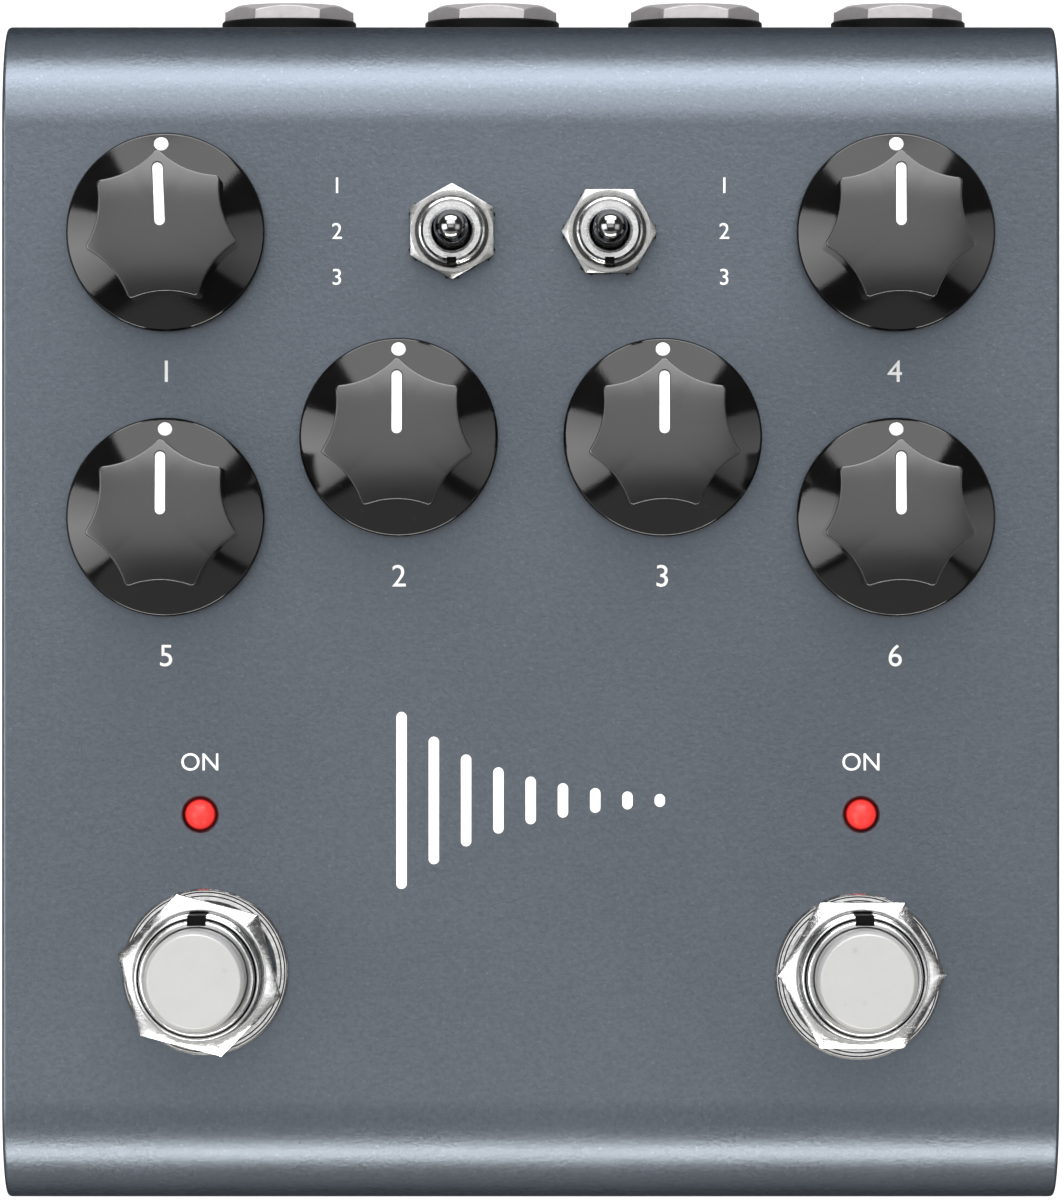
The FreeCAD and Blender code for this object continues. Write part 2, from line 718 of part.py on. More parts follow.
def make_jacks():
    """Box jacks with a threaded nose through the rear wall."""
    wall_y = rear_y - shell_wall
    mouth_y = rear_y + rear_reach
    low_z = board_z - jack_height
    half = jack_width / 2
    body = box(-half, half, wall_y - jack_length, wall_y, low_z, board_z)
    body = body.fuse(rod(0, wall_y, jack_z, jack_bushing_radius, mouth_y - wall_y, BACK))
    body = body.cut(rod(0, mouth_y - jack_bore_depth, jack_z, jack_bore_radius, jack_bore_depth, BACK))
    pocket_in = jack_bore_radius + jack_contact_thickness
    half_contact = jack_contact_width / 2
    pocket_y = wall_y - jack_length + jack_pocket_width
    pocket_end = wall_y - jack_pocket_width
    contact_z = jack_z - half_contact
    contacts = []
    for side in (-1, 1):
        x0 = min(side * pocket_in, side * (pocket_in + jack_pocket_width))
        x1 = x0 + jack_pocket_width
        pocket = box(x0, x1, pocket_y, pocket_end, contact_z, board_z)
        body = body.cut(pocket)
        strip_x = x0 + (jack_pocket_width - jack_contact_thickness) / 2
        strip_end = strip_x + jack_contact_thickness
        strip = box(strip_x, strip_end, pocket_y, pocket_end, contact_z, jack_z + half_contact)
        tail = box(strip_x, strip_end, pocket_y, pocket_y + jack_contact_tail, jack_z, board_z)
        contacts.append(strip.fuse(tail).removeSplitter())
    bore = jack_bushing_radius + thread_gap
    nut = hex_nut(jack_nut_flats, jack_nut_height, bore, 0)
    nut.rotate(at(0, 0, 0), ACROSS, -90)
    ring = washer(jack_washer_radius, jack_washer_height, bore)
    ring.rotate(at(0, 0, 0), ACROSS, -90)
    nuts = []
    rings = []
    strips = []
    for number, x in enumerate(jack_places):
        save("jack_%d" % (number + 1), [moved(body, x, 0, 0)])
        rings.append(moved(ring, x, rear_y, jack_z))
        nuts.append(moved(nut, x, rear_y + jack_washer_height, jack_z))
        for strip in contacts:
            strips.append(moved(strip, x, 0, 0))
    save("jack_nuts", nuts)
    save("jack_washers", rings)
    save("jack_contacts", strips)


def make_power_inlet():
    wall_y = rear_y - shell_wall
    mouth_y = rear_y - inlet_recess
    half = inlet_width / 2
    low_z = board_z - inlet_height
    body = box(inlet_x - half, inlet_x + half, wall_y - inlet_length, wall_y, low_z, board_z)
    body = body.fuse(rod(inlet_x, wall_y, inlet_z, inlet_nose_radius, mouth_y - wall_y, BACK))
    bore_y = mouth_y - inlet_bore_depth
    body = body.cut(rod(inlet_x, bore_y, inlet_z, inlet_bore_radius, inlet_bore_depth, BACK))
    pin_y = bore_y - inlet_pin_seat
    body = body.cut(rod(inlet_x, pin_y, inlet_z, inlet_pin_radius, inlet_pin_seat, BACK))
    pin_length = mouth_y - pin_y - 2 * inlet_pin_radius
    pin = rod(inlet_x, pin_y, inlet_z, inlet_pin_radius, pin_length, BACK)
    pin = pin.fuse(Part.makeSphere(inlet_pin_radius, at(inlet_x, pin_y + pin_length, inlet_z)))
    save("power_inlet", [body])
    save("power_inlet_pin", [pin])


def make_boards():
    half = half_width - board_side_margin
    back_y = rear_y - shell_wall - board_margin
    board = box(-half, half, board_front_y, back_y, board_z, board_top_z)
    for x, y in knob_places.values():
        for number in (-1, 0, 1):
            pin_x = x + number * pin_pitch
            pin_y = y - pot_length / 3
            board = board.cut(rod(pin_x, pin_y, board_z, pin_radius + pin_gap, board_thickness))
    save("main_board", [board])
    switch_z = panel_z - switch_lock_nut_height - switch_body_height - board_thickness
    low_y = footswitch_y - switch_board_length / 2
    high_y = low_y + switch_board_length
    reach_x = footswitch_x + switch_body_width / 2
    panel = box(-reach_x, reach_x, low_y, high_y, switch_z, switch_z + board_thickness)
    for x, y in footswitch_places.values():
        for number in (-1, 0, 1):
            pin_x = x + number * switch_terminal_pitch
            panel = panel.cut(rod(pin_x, y, switch_z, pin_radius + pin_gap, board_thickness))
    save("switch_board", [panel])
    make_ribbon(high_y, switch_z + board_thickness)


def make_ribbon(switch_board_y, switch_board_top):
    """A flat lead that leaves a header below the main board and drops to the switch board."""
    half_header = header_width / 2
    upper_y = board_front_y
    upper_z = board_z - header_height
    upper = box(-half_header, half_header, upper_y, upper_y + header_length, upper_z, board_z)
    lower_y = switch_board_y - header_length
    lower_top = switch_board_top + header_height
    lower = box(-half_header, half_header, lower_y, switch_board_y, switch_board_top, lower_top)
    save("ribbon_headers", [upper, lower])
    half_ribbon = ribbon_width / 2
    lead_y = upper_y + header_length / 2
    landing_z = switch_board_top + header_height / 2
    outer = ribbon_bend + ribbon_thickness
    bend_z = landing_z + ribbon_bend
    drop = box(-half_ribbon, half_ribbon, lead_y, lead_y + ribbon_thickness, bend_z, upper_z)
    run_y = lead_y - ribbon_bend
    run_z = landing_z - ribbon_thickness
    run = box(-half_ribbon, half_ribbon, switch_board_y, run_y, run_z, landing_z)
    centre = at(-half_ribbon, run_y, bend_z)
    bend = Part.makeCylinder(outer, ribbon_width, centre, ACROSS)
    bend = bend.cut(Part.makeCylinder(ribbon_bend, ribbon_width, centre, ACROSS))
    quarter = box(-half_ribbon, half_ribbon, run_y, run_y + outer, centre.z - outer, centre.z)
    lead = drop.fuse(bend.common(quarter)).fuse(run).removeSplitter()
    save("ribbon_lead", [lead])


def make_electronics():
    """Chips and capacitors that hang below the main board."""
    y = centre_y
    half = processor_size / 2
    processor = box(-half, half, y - half, y + half, board_z - processor_height, board_z)
    save("signal_processor", [processor])
    chip_z = board_z - memory_height
    memories = []
    for number in (0, 1):
        x = processor_size + number * memory_pitch
        memories.append(box(x, x + memory_length, y, y + memory_width, chip_z, board_z))
    save("memory_chips", memories)
    row_y = board_front_y + header_length + amplifier_gap
    amplifiers = []
    for number in (-1, 0, 1):
        x = number * amplifier_pitch - memory_length / 2
        amplifiers.append(box(x, x + memory_length, row_y, row_y + memory_width, chip_z, board_z))
    save("amplifier_chips", amplifiers)
    cans = []
    for number in (0, 1, 2):
        x = -processor_size - capacitor_radius - number * capacitor_pitch
        cans.append(rod(x, y, board_z - capacitor_height, capacitor_radius, capacitor_height))
    save("filter_capacitors", cans)


make_top_shell()
make_screw_rails()
make_base_pan()
make_base_screws()
make_feet()
make_knobs()
make_potentiometers()
make_toggles()
make_lamps()
make_footswitches()
make_jacks()
make_power_inlet()
make_boards()
make_electronics()
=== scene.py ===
from math import acos, atan, atan2, cos, degrees, hypot, pi, radians, sin, sqrt, tan
from types import SimpleNamespace as Values
import bpy
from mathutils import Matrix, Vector


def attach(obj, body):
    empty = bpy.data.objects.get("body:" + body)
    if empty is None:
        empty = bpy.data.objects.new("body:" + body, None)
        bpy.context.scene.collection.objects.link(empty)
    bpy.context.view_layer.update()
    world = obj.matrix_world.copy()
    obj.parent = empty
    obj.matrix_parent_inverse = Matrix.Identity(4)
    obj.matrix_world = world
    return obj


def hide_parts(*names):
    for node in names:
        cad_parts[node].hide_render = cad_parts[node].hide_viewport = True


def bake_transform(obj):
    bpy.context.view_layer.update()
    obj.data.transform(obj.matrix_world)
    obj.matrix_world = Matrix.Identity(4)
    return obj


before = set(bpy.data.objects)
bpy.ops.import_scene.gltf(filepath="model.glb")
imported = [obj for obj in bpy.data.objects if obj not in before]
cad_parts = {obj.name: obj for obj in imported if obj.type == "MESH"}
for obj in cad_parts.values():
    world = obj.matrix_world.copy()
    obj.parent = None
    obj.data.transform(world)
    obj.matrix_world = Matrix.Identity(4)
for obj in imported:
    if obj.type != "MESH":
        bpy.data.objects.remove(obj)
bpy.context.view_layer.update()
scene = bpy.context.scene
mm = 0.001


# Working in object and edit mode
def leaveEdit():
    if bpy.context.mode != "OBJECT":
        bpy.ops.object.mode_set(mode="OBJECT")


def selectOnly(*pieces):
    leaveEdit()
    bpy.ops.object.select_all(action="DESELECT")
    for piece in pieces:
        piece.select_set(True)
    if pieces:
        bpy.context.view_layer.objects.active = pieces[0]


def toEdit(piece, kind, action="SELECT"):
    selectOnly(piece)
    bpy.ops.object.mode_set(mode="EDIT")
    bpy.ops.mesh.select_mode(type=kind)
    bpy.ops.mesh.select_all(action=action)


def pick(piece, kind, test):  # test takes a face's centre and normal, an edge's two ends or a point, in mm
    toEdit(piece, kind, "DESELECT")
    leaveEdit()
    mesh = piece.data
    spots = [vertex.co / mm for vertex in mesh.vertices]
    if kind == "FACE":
        for face in mesh.polygons:
            face.select = bool(test(face.center / mm, face.normal))
    elif kind == "EDGE":
        for edge in mesh.edges:
            edge.select = bool(test(*[spots[end] for end in edge.vertices]))
    else:
        for vertex, spot in zip(mesh.vertices, spots):
            vertex.select = bool(test(spot))
    bpy.ops.object.mode_set(mode="EDIT")


def bevelPicked(width, segments, affect="EDGES"):
    bpy.ops.mesh.bevel(offset=width * mm, segments=segments, affect=affect)


def extrudeBy(*reach):
    bpy.ops.mesh.extrude_region_move(TRANSFORM_OT_translate={"value": [value * mm for value in reach]})


def resizeFlat(share):  # towards or from the z axis
    bpy.ops.transform.resize(value=(share, share, 1), center_override=(0, 0, 0))


def closeUp(mergeAt=0.0):  # the faces point outwards
    bpy.ops.mesh.select_all(action="SELECT")
    if mergeAt:
        bpy.ops.mesh.remove_doubles(threshold=mergeAt * mm)
    bpy.ops.mesh.normals_make_consistent(inside=False)
    leaveEdit()


def mergeLoose(piece):
    toEdit(piece, "VERT")
    bpy.ops.mesh.remove_doubles(threshold=0.0005 * mm)
    leaveEdit()


def applyPlace(piece):
    selectOnly(piece)
    bpy.ops.object.transform_apply()


def takePiece():  # the primitive that was just added
    piece = bpy.context.object
    applyPlace(piece)
    return piece


def addModifier(piece, kind, **settings):
    selectOnly(piece)
    modifier = piece.modifiers.new(kind.lower(), kind)
    for key, value in settings.items():
        setattr(modifier, key, value)
    bpy.ops.object.modifier_apply(modifier=modifier.name)


def join(pieces):
    selectOnly(*pieces)
    if len(pieces) > 1:
        bpy.ops.object.join()
    return pieces[0]


def cutWith(piece, tools, how="DIFFERENCE"):
    tool = join(tools)
    addModifier(piece, "BOOLEAN", operation=how, solver="EXACT", object=tool, use_self=len(tools) > 1)
    bpy.data.objects.remove(tool)


def smoothPiece(piece, angle):
    selectOnly(piece)
    bpy.ops.object.shade_smooth_by_angle(angle=radians(angle))
    addModifier(piece, "WEIGHTED_NORMAL", weight=50, keep_sharp=True)


def softenEdges(piece, width, segments, angle=40.0):
    addModifier(
        piece, "BEVEL", width=width * mm, segments=segments, limit_method="ANGLE",
        angle_limit=radians(angle),
    )


def keepOwnPlace(piece):  # x, y, z in mm before it is placed, for patterns that go round it
    spots = piece.data.attributes.new("ownPlace", "FLOAT_VECTOR", "POINT")
    for vertex in piece.data.vertices:
        spots.data[vertex.index].vector = vertex.co / mm


def finishOff(piece, angle=40.0):
    smoothPiece(piece, angle)
    keepOwnPlace(piece)
    return piece


def setDown(piece, place, turn=(0, 0, 0)):  # place in mm, turn in degrees
    piece.location = [value * mm for value in place]
    piece.rotation_euler = [radians(value) for value in turn]
    applyPlace(piece)
    return piece


def wearRide(piece, name, look, slot=None, *nodes, body="case"):
    piece.name = name
    piece.data.materials.clear()
    piece.data.materials.append(finish[look])
    if body:
        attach(piece, body)
    if nodes:
        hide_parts(*nodes)


def copyTo(source, place, *wear, turn=0.0, body="case"):
    piece = source.copy()
    piece.data = source.data.copy()
    piece.parent = None
    scene.collection.objects.link(piece)
    wearRide(setDown(piece, place, (0, 0, turn)), *wear, body=body)
    return piece


def paintShade(piece, place, test):  # painted shade: black on faces in slots and grooves; test takes a face's centre in mm from place and its normal
    piece.data.materials.append(finish["blackWasherAndShade"])
    for face in piece.data.polygons:
        if test(face.center / mm - Vector(place), face.normal):
            face.material_index = len(piece.data.materials) - 1


def dropPatterns(*patterns):
    for pattern in patterns:
        bpy.data.objects.remove(pattern)


# Shapes that several pieces share, in mm
def startDisc(radius, sides, place, fill="NGON"):
    selectOnly()
    bpy.ops.mesh.primitive_circle_add(
        vertices=sides, radius=radius * mm, fill_type=fill, location=[value * mm for value in place]
    )
    return takePiece()


def lathe(rings, sides=96, bored=False):  # rings of (radius, height); a bored one closes on itself
    radius, height = before = rings[0]
    piece = startDisc(radius, sides, (0, 0, height), "NOTHING" if bored else "NGON")
    toEdit(piece, "EDGE" if bored else "FACE")
    for after in rings[1:] + (rings[:1] if bored else []):
        extrudeBy(0, 0, after[1] - before[1])
        resizeFlat(after[0] / before[0])
        before = after
    closeUp(0.002 if bored else 0.0)
    return piece


def rod(radius, low, high, place=(0, 0), sides=96, along="z"):  # a cutter
    selectOnly()
    middle = (low + high) / 2 * mm
    x, y = place[0] * mm, place[1] * mm
    where, turn = ((x, y, middle), 0) if along == "z" else ((x, middle, y), radians(-90))
    bpy.ops.mesh.primitive_cylinder_add(
        vertices=sides, radius=radius * mm, depth=(high - low) * mm, location=where, rotation=(turn, 0, 0)
    )
    return takePiece()


def cuboid(low, high, turn=0.0):
    selectOnly()
    middle = [(a + b) / 2 * mm for a, b in zip(low, high)]
    size = [(b - a) * mm for a, b in zip(low, high)]
    bpy.ops.mesh.primitive_cube_add(size=1, location=middle, scale=size, rotation=(0, 0, radians(turn)))
    return takePiece()


def softBlock(wide, long, low, high, soft):  # long is one length, or the near and the far end
    near, far = long if isinstance(long, tuple) else (-long / 2, long / 2)
    block = cuboid((-wide / 2, near, low), (wide / 2, far, high))
    softenEdges(block, soft, 3)
    return block


def arcRings(middle, height, radius, first, last, steps):  # angles in degrees, 0 outwards and 90 up
    angles = [radians(first + (last - first) * step / (steps - 1)) for step in range(steps)]
    return [(middle + radius * cos(angle), height + radius * sin(angle)) for angle in angles]


def threadRings(radius, low, high, pitch):  # crests and roots of a thread, from low to high
    root = radius - pitch * 0.5
    rings = []
    for turn in range(int((high - low) / pitch)):
        for reach, share in ((radius, 0.06), (root, 0.46), (root, 0.54), (radius, 0.94)):
            rings.append((reach, low + turn * pitch + pitch * share))
    return rings


def stepsFrom(radius, height, steps):  # each step is a cut inwards and a drop
    return [(radius - cut, height - drop) for cut, drop in steps]


def cutKeyway(tube, halfWide, inner, outer, low, high, floor):  # floor: inner, outer, low and high of a plug in the slot, a dark thing put there as the slot's shade
    near, far = sorted((inner, outer))
    cutWith(tube, [cuboid((-halfWide, near, low), (halfWide, far, high))])
    near, far = sorted(floor[:2])
    shadePlug = cuboid((-halfWide, near, floor[2]), (halfWide, far, floor[3]))
    return join([tube, shadePlug])


def hexNut(nut):  # a bored and countersunk hexagon nut, standing on z = 0
    height, bore, sink = nut["height"], nut["bore"], nut["sink"]
    corner = nut["flats"] / sqrt(3)
    piece = rod(corner, -0.5, height + 0.5, sides=6)
    wide = corner + 0.3
    face = nut["flats"] / 2 * nut["faceShare"]
    drop = (wide - face) * tan(radians(nut["chamfer"]))
    rings = [(bore, sink), (bore + sink, 0)]
    rings += [(face, 0), (wide, drop)] if nut["bothFaces"] else [(wide, 0)]
    rings += [(wide, height - drop), (face, height), (bore + sink, height), (bore, height - sink)]
    cutWith(piece, [lathe(rings, 192, bored=True)], "INTERSECT")
    softenEdges(piece, nut["soft"], 2, 20.0)
    return finishOff(piece, 24.0)


def washerPiece(washer):  # its grooves are by radius, from the outside in
    inner, outer, height, soft = washer["inner"], washer["outer"], washer["height"], washer["soft"]
    rings = [(inner, soft), (inner + soft, 0), (outer - soft, 0), (outer, soft), (outer, height - soft)]
    rings.append((outer - soft, height))
    for radius in washer["grooves"]:
        rings += stepsFrom(radius, height, ((-0.06, 0), (-0.03, 0.09), (0.03, 0.09), (0.06, 0)))
    rings += [(inner + soft, height), (inner, height - soft)]
    return finishOff(lathe(rings, 160, bored=True))


# Camera: straight down from above the face
cameraView = dict(across=0.08, back=-0.25, faceHeight=44.4, above=770.0, lens=240.5, sensor=36.0)


def makeCamera():
    view = cameraView
    data = bpy.data.cameras.new("overheadCamera")
    data.lens = view["lens"]
    data.sensor_width = view["sensor"]
    camera = bpy.data.objects.new("overheadCamera", data)
    camera.location = (view["across"] * mm, view["back"] * mm, (view["faceHeight"] + view["above"]) * mm)
    scene.collection.objects.link(camera)
    scene.camera = camera
    scene.view_settings.view_transform = "Standard"


# Studio: soft lamps and cards, a dim sky and a pale floor. Angles are from straight up, sizes in metres
lampSet = {
    "rearSoftbox": dict(lean=62, round=90, away=1.3, size=(1.6, 0.64), glow=5.6),
    "highSoftbox": dict(lean=31, round=89, away=1.4, size=(1.35, 0.74), glow=2.7),
    "overheadSoftbox": dict(lean=1.5, round=90, away=1.6, size=(1.2, 0.56), glow=0.88),
    "frontStrip": dict(lean=67, round=-90, away=1.2, size=(1.5, 0.26), glow=9.8, tint=(1.0, 0.98, 0.92)),
    "frontCard": dict(lean=42, round=-90, away=0.15, size=(0.27, 0.09), glow=0.42),
    "leftSoftbox": dict(lean=45, round=186, away=1.3, size=(0.8, 0.9), glow=4.4, spread=70),
    "rightSoftbox": dict(lean=46, round=-6, away=1.3, size=(0.76, 0.8), glow=1.5, spread=60),
    "frontLeftCard": dict(lean=62, round=222, away=1.3, size=(0.55, 0.34), glow=0.9),
}
studio = dict(
    aimHeight=40.0, skyLow=0.12, skyHigh=0.07, floorColour=0.3, floorRough=0.9, floorShine=0.1,
    floorSeen=0.8, floorMirrored=0.12, floorSize=6.0, floorDrop=0.1,
)


def makeLamps():
    target = Vector((0, 0, studio["aimHeight"] * mm))
    for name, lamp in lampSet.items():
        lean, around = radians(lamp["lean"]), radians(lamp["round"])
        way = Vector((sin(lean) * cos(around), sin(lean) * sin(around), cos(lean)))
        data = bpy.data.lights.new(name, "AREA")
        data.color = lamp.get("tint", (1, 1, 1))
        data.shape = "RECTANGLE"
        data.size, data.size_y = wide, tall = lamp["size"]
        half = radians(lamp.get("spread", 180) / 2)
        data.spread = 2 * half
        data.energy = lamp["glow"] * 4 * wide * tall * (1 - half / tan(half))
        light = bpy.data.objects.new(name, data)
        light.location = target + way * lamp["away"]
        light.rotation_euler = (-way).to_track_quat("-Z", "Y").to_euler()
        light.visible_camera = False
        scene.collection.objects.link(light)


drawing = {}  # the tree that new nodes go into, and its material


def fillInputs(node, values):  # links a socket, or sets a value; colours are three numbers
    for key, value in values.items():
        socket = node.inputs[key]
        if isinstance(value, bpy.types.NodeSocket):
            node.id_data.links.new(value, socket)
        else:
            socket.default_value = (*value, 1.0) if socket.type == "RGBA" else value


def addNode(kind, values=None, **settings):  # returns the node's outputs
    node = drawing["tree"].nodes.new("ShaderNode" + kind)
    for key, value in settings.items():
        setattr(node, key, value)
    fillInputs(node, values or {})
    return node.outputs


def mathOf(operation, one, other):
    return addNode("Math", {0: one, 1: other}, operation=operation)[0]


def plus(total, *values):
    for value in values:
        total = mathOf("ADD", total, value)
    return total


def times(one, other):
    return mathOf("MULTIPLY", one, other)


def ramp(value, fromLow, fromHigh, toLow=0.0, toHigh=1.0, kind="LINEAR"):
    values = {0: value, 1: fromLow, 2: fromHigh, 3: toLow, 4: toHigh}
    return addNode("MapRange", values, interpolation_type=kind)[0]


def mix(share, one, other):
    return addNode("Mix", {0: share, 6: one, 7: other}, data_type="RGBA")[2]


def startFinish(name, look):
    material = bpy.data.materials.new(name)
    material.use_nodes = True
    drawing.update(tree=material.node_tree, material=material)
    return Values(**look)


def endFinish(values):
    fillInputs(drawing["tree"].nodes["Principled BSDF"], values)
    return drawing["material"]


def makeWorld():
    world = bpy.data.worlds.new("studioSky")
    world.use_nodes = True
    scene.world = world
    drawing["tree"] = world.node_tree
    height = addNode("SeparateXYZ", {0: addNode("TexCoord")["Generated"]})["Z"]
    level = ramp(height, 0.02, 0.3, studio["skyLow"], studio["skyHigh"], "SMOOTHSTEP")
    fillInputs(world.node_tree.nodes["Background"], {"Color": level})


def makeFloor():
    look = startFinish("floorPaper", studio)
    selectOnly()
    bpy.ops.mesh.primitive_plane_add(size=look.floorSize, location=(0, 0, -look.floorDrop * mm))
    floor = bpy.context.object
    floor.name = "paleFloor"
    path = addNode("LightPath")
    mirrored = plus(path["Is Glossy Ray"], path["Is Transmission Ray"])
    glow = plus(times(path["Is Camera Ray"], look.floorSeen), times(mirrored, look.floorMirrored))
    floor.data.materials.append(endFinish({
        "Base Color": [look.floorColour] * 3, "Roughness": look.floorRough, "Specular IOR Level": look.floorShine,
        "Emission Color": (1, 1, 1), "Emission Strength": glow,
    }))


makeCamera()
makeLamps()
makeWorld()
makeFloor()
print("camera, lamps and floor are in place")


# Shared surface effects. Place is in metres, sizes are in mm
def startGroup(name, output, **inputs):
    group = bpy.data.node_groups.new(name, "ShaderNodeTree")
    drawing["tree"] = group
    for socket, kind in inputs.items():
        group.interface.new_socket(name=socket, in_out="INPUT", socket_type="NodeSocket" + kind)
    group.interface.new_socket(name=output, in_out="OUTPUT", socket_type="NodeSocketFloat")
    return group.nodes.new("NodeGroupInput").outputs


def endGroup(value):
    group = drawing["tree"]
    fillInputs(group.nodes.new("NodeGroupOutput"), {0: value})
    return group


def inMillimetres(place):
    return addNode("VectorMath", {0: place, 3: 1 / mm}, operation="SCALE")[0]


def noiseOf(spots, size, detail, rough):
    scale = mathOf("DIVIDE", 1.0, size)
    return addNode("TexNoise", {"Vector": spots, "Scale": scale, "Detail": detail, "Roughness": rough})[0]


def fromAxis(place):  # distance from the z axis
    flat = addNode("VectorMath", {0: place, 1: (1, 1, 0)}, operation="MULTIPLY")[0]
    return addNode("VectorMath", {0: flat}, operation="LENGTH")["Value"]


def makeMottle():  # soft uneven spots, drawn out by Stretch
    entry = startGroup("mottle", "Value", Place="Vector", Stretch="Vector", Size="Float")
    values = {0: inMillimetres(entry["Place"]), 1: entry["Stretch"]}
    drawn = addNode("VectorMath", values, operation="MULTIPLY")[0]
    return endGroup(ramp(noiseOf(drawn, entry["Size"], 3.0, 0.62), 0.25, 0.75))


def makeSpecks():  # small separate dots, some stronger than others
    entry = startGroup("specks", "Mask", Place="Vector", Spacing="Float", Fill="Float")
    scale = mathOf("DIVIDE", 1.0, entry["Spacing"])
    cells = addNode("TexVoronoi", {"Vector": inMillimetres(entry["Place"]), "Scale": scale})
    near = ramp(cells["Distance"], 0.1, 0.4, 1.0, 0.0)
    chance = addNode("SeparateColor", {0: cells["Color"]})[0]
    return endGroup(times(near, ramp(chance, mathOf("SUBTRACT", 1.0, entry["Fill"]), 1.0)))


def makeScratches():  # fine straight lines in two directions
    entry = startGroup("scratches", "Mask", Place="Vector", Length="Float", Amount="Float")
    masks = []
    for turn in (0.6, 2.0):
        scale = (1 / mm, 34 / mm, 1 / mm)
        mapped = addNode("Mapping", {"Vector": entry["Place"], "Rotation": (0.0, 0.0, turn), "Scale": scale})[0]
        masks.append(ramp(noiseOf(mapped, entry["Length"], 2.0, 0.5), 0.66, 0.74))
    return endGroup(times(mathOf("MAXIMUM", *masks), entry["Amount"]))


def makeRingMarks():  # lathe marks round the piece's own axis
    entry = startGroup("ringMarks", "Value", OwnPlace="Vector", Spacing="Float")
    steps = mathOf("DIVIDE", fromAxis(entry["OwnPlace"]), entry["Spacing"])
    noise = addNode("TexNoise", {"W": steps, "Scale": 1.0, "Detail": 2.0}, noise_dimensions="1D")[0]
    return endGroup(ramp(noise, 0.3, 0.7))


mottle = makeMottle()
specks = makeSpecks()
scratches = makeScratches()
ringMarks = makeRingMarks()


def useGroup(group, **values):
    return addNode("Group", values, node_tree=group)[0]


def useMottle(place, size, stretch=(1, 1, 1)):
    return useGroup(mottle, Place=place, Stretch=stretch, Size=size)


def objectPlace():
    return addNode("TexCoord")["Object"]


def ownPlace():
    return addNode("Attribute", attribute_name="ownPlace")["Vector"]


def endSurface(colour, rough, height, depth, more):  # depth of the relief in mm
    bump = addNode("Bump", {"Height": height, "Strength": 1.0, "Distance": depth * mm})[0]
    return endFinish({"Base Color": colour, "Roughness": rough, "Normal": bump, **more})


# Each finish: two colours, how metallic, roughness and its spread, grain size, grain height and smudge size
# in mm, how much it shows scratches, dust specks and lathe marks
lookNames = ("colour", "second", "metal", "rough", "spread", "grain", "height", "smudge", "scratch", "speck", "rings")
finishes = {
    "nickel": ((0.72, 0.72, 0.715), (0.54, 0.54, 0.54), 1.0, 0.17, 0.2, 0.16, 0.004, 0.9, 0.6, 0.4, 0.3),
    "satinNickel": ((0.50, 0.475, 0.48), (0.42, 0.40, 0.405), 0.85, 0.42, 0.12, 0.12, 0.002, 1.6, 0.3, 0.2, 0.2),
    "brushedNickel": ((0.50, 0.50, 0.49), (0.34, 0.34, 0.34), 1.0, 0.28, 0.16, 0.14, 0.005, 0.6, 0.6, 0.5, 0.4),
    "satinCap": ((0.42, 0.42, 0.417), (0.395, 0.395, 0.392), 0.35, 0.42, 0.05, 0.1, 0.0006, 3.0, 0.12, 0.1, 0.15),
    "brightSteel": ((0.30, 0.30, 0.31), (0.24, 0.24, 0.24), 1.0, 0.08, 0.06, 0.2, 0.0006, 1.4, 0.3, 0.2, 0.2),
    # blackWasherAndShade: black washers, and also the black of painted shade in slots and grooves
    "blackWasherAndShade": ((0.002, 0.002, 0.002), (0.004, 0.004, 0.004), 0.0, 0.6, 0.15, 0.2, 0.004, 2.0, 0.05, 0.1, 0.0),
    "basePaint": ((0.10, 0.115, 0.14), (0.125, 0.14, 0.165), 0.85, 0.42, 0.1, 0.3, 0.004, 14.0, 0.4, 0.3, 0.0),
    "footRubber": ((0.018, 0.018, 0.019), (0.035, 0.034, 0.033), 0.0, 0.72, 0.15, 0.25, 0.012, 3.0, 0.1, 0.5, 0.0),
    "blackSteel": ((0.04, 0.04, 0.042), (0.075, 0.075, 0.075), 0.9, 0.36, 0.12, 0.15, 0.002, 1.2, 0.6, 0.2, 0.2),
    "blackMoulding": ((0.012, 0.012, 0.013), (0.02, 0.02, 0.02), 0.0, 0.42, 0.12, 0.18, 0.003, 4.0, 0.3, 0.3, 0.0),
    "potHousing": ((0.55, 0.56, 0.55), (0.4, 0.41, 0.4), 1.0, 0.34, 0.14, 0.2, 0.002, 2.5, 0.5, 0.2, 0.0),
    "boardMask": ((0.012, 0.085, 0.035), (0.02, 0.13, 0.055), 0.0, 0.32, 0.12, 0.3, 0.004, 5.0, 0.2, 0.4, 0.0),
    "chipMoulding": ((0.02, 0.02, 0.021), (0.03, 0.03, 0.03), 0.0, 0.55, 0.1, 0.12, 0.003, 2.0, 0.2, 0.3, 0.0),
    "canAluminium": ((0.78, 0.78, 0.78), (0.62, 0.62, 0.63), 1.0, 0.28, 0.1, 0.2, 0.001, 2.5, 0.3, 0.2, 0.0),
    "contactBronze": ((0.72, 0.55, 0.3), (0.6, 0.45, 0.25), 1.0, 0.25, 0.1, 0.2, 0.001, 1.5, 0.4, 0.2, 0.0),
    "leadGrey": ((0.35, 0.35, 0.36), (0.28, 0.28, 0.29), 0.0, 0.5, 0.1, 0.3, 0.003, 3.0, 0.1, 0.3, 0.0),
}
swells = {"nickel": 5.0, "brushedNickel": 2.0}  # slow waves in a plated face, as a multiple of the grain's height
shines = {"blackWasherAndShade": 0.08}  # specular level where it isn't 0.5
wear = dict(scratchLength=2.4, speckSpacing=0.9, ringSpacing=0.12, swellSize=1.6)


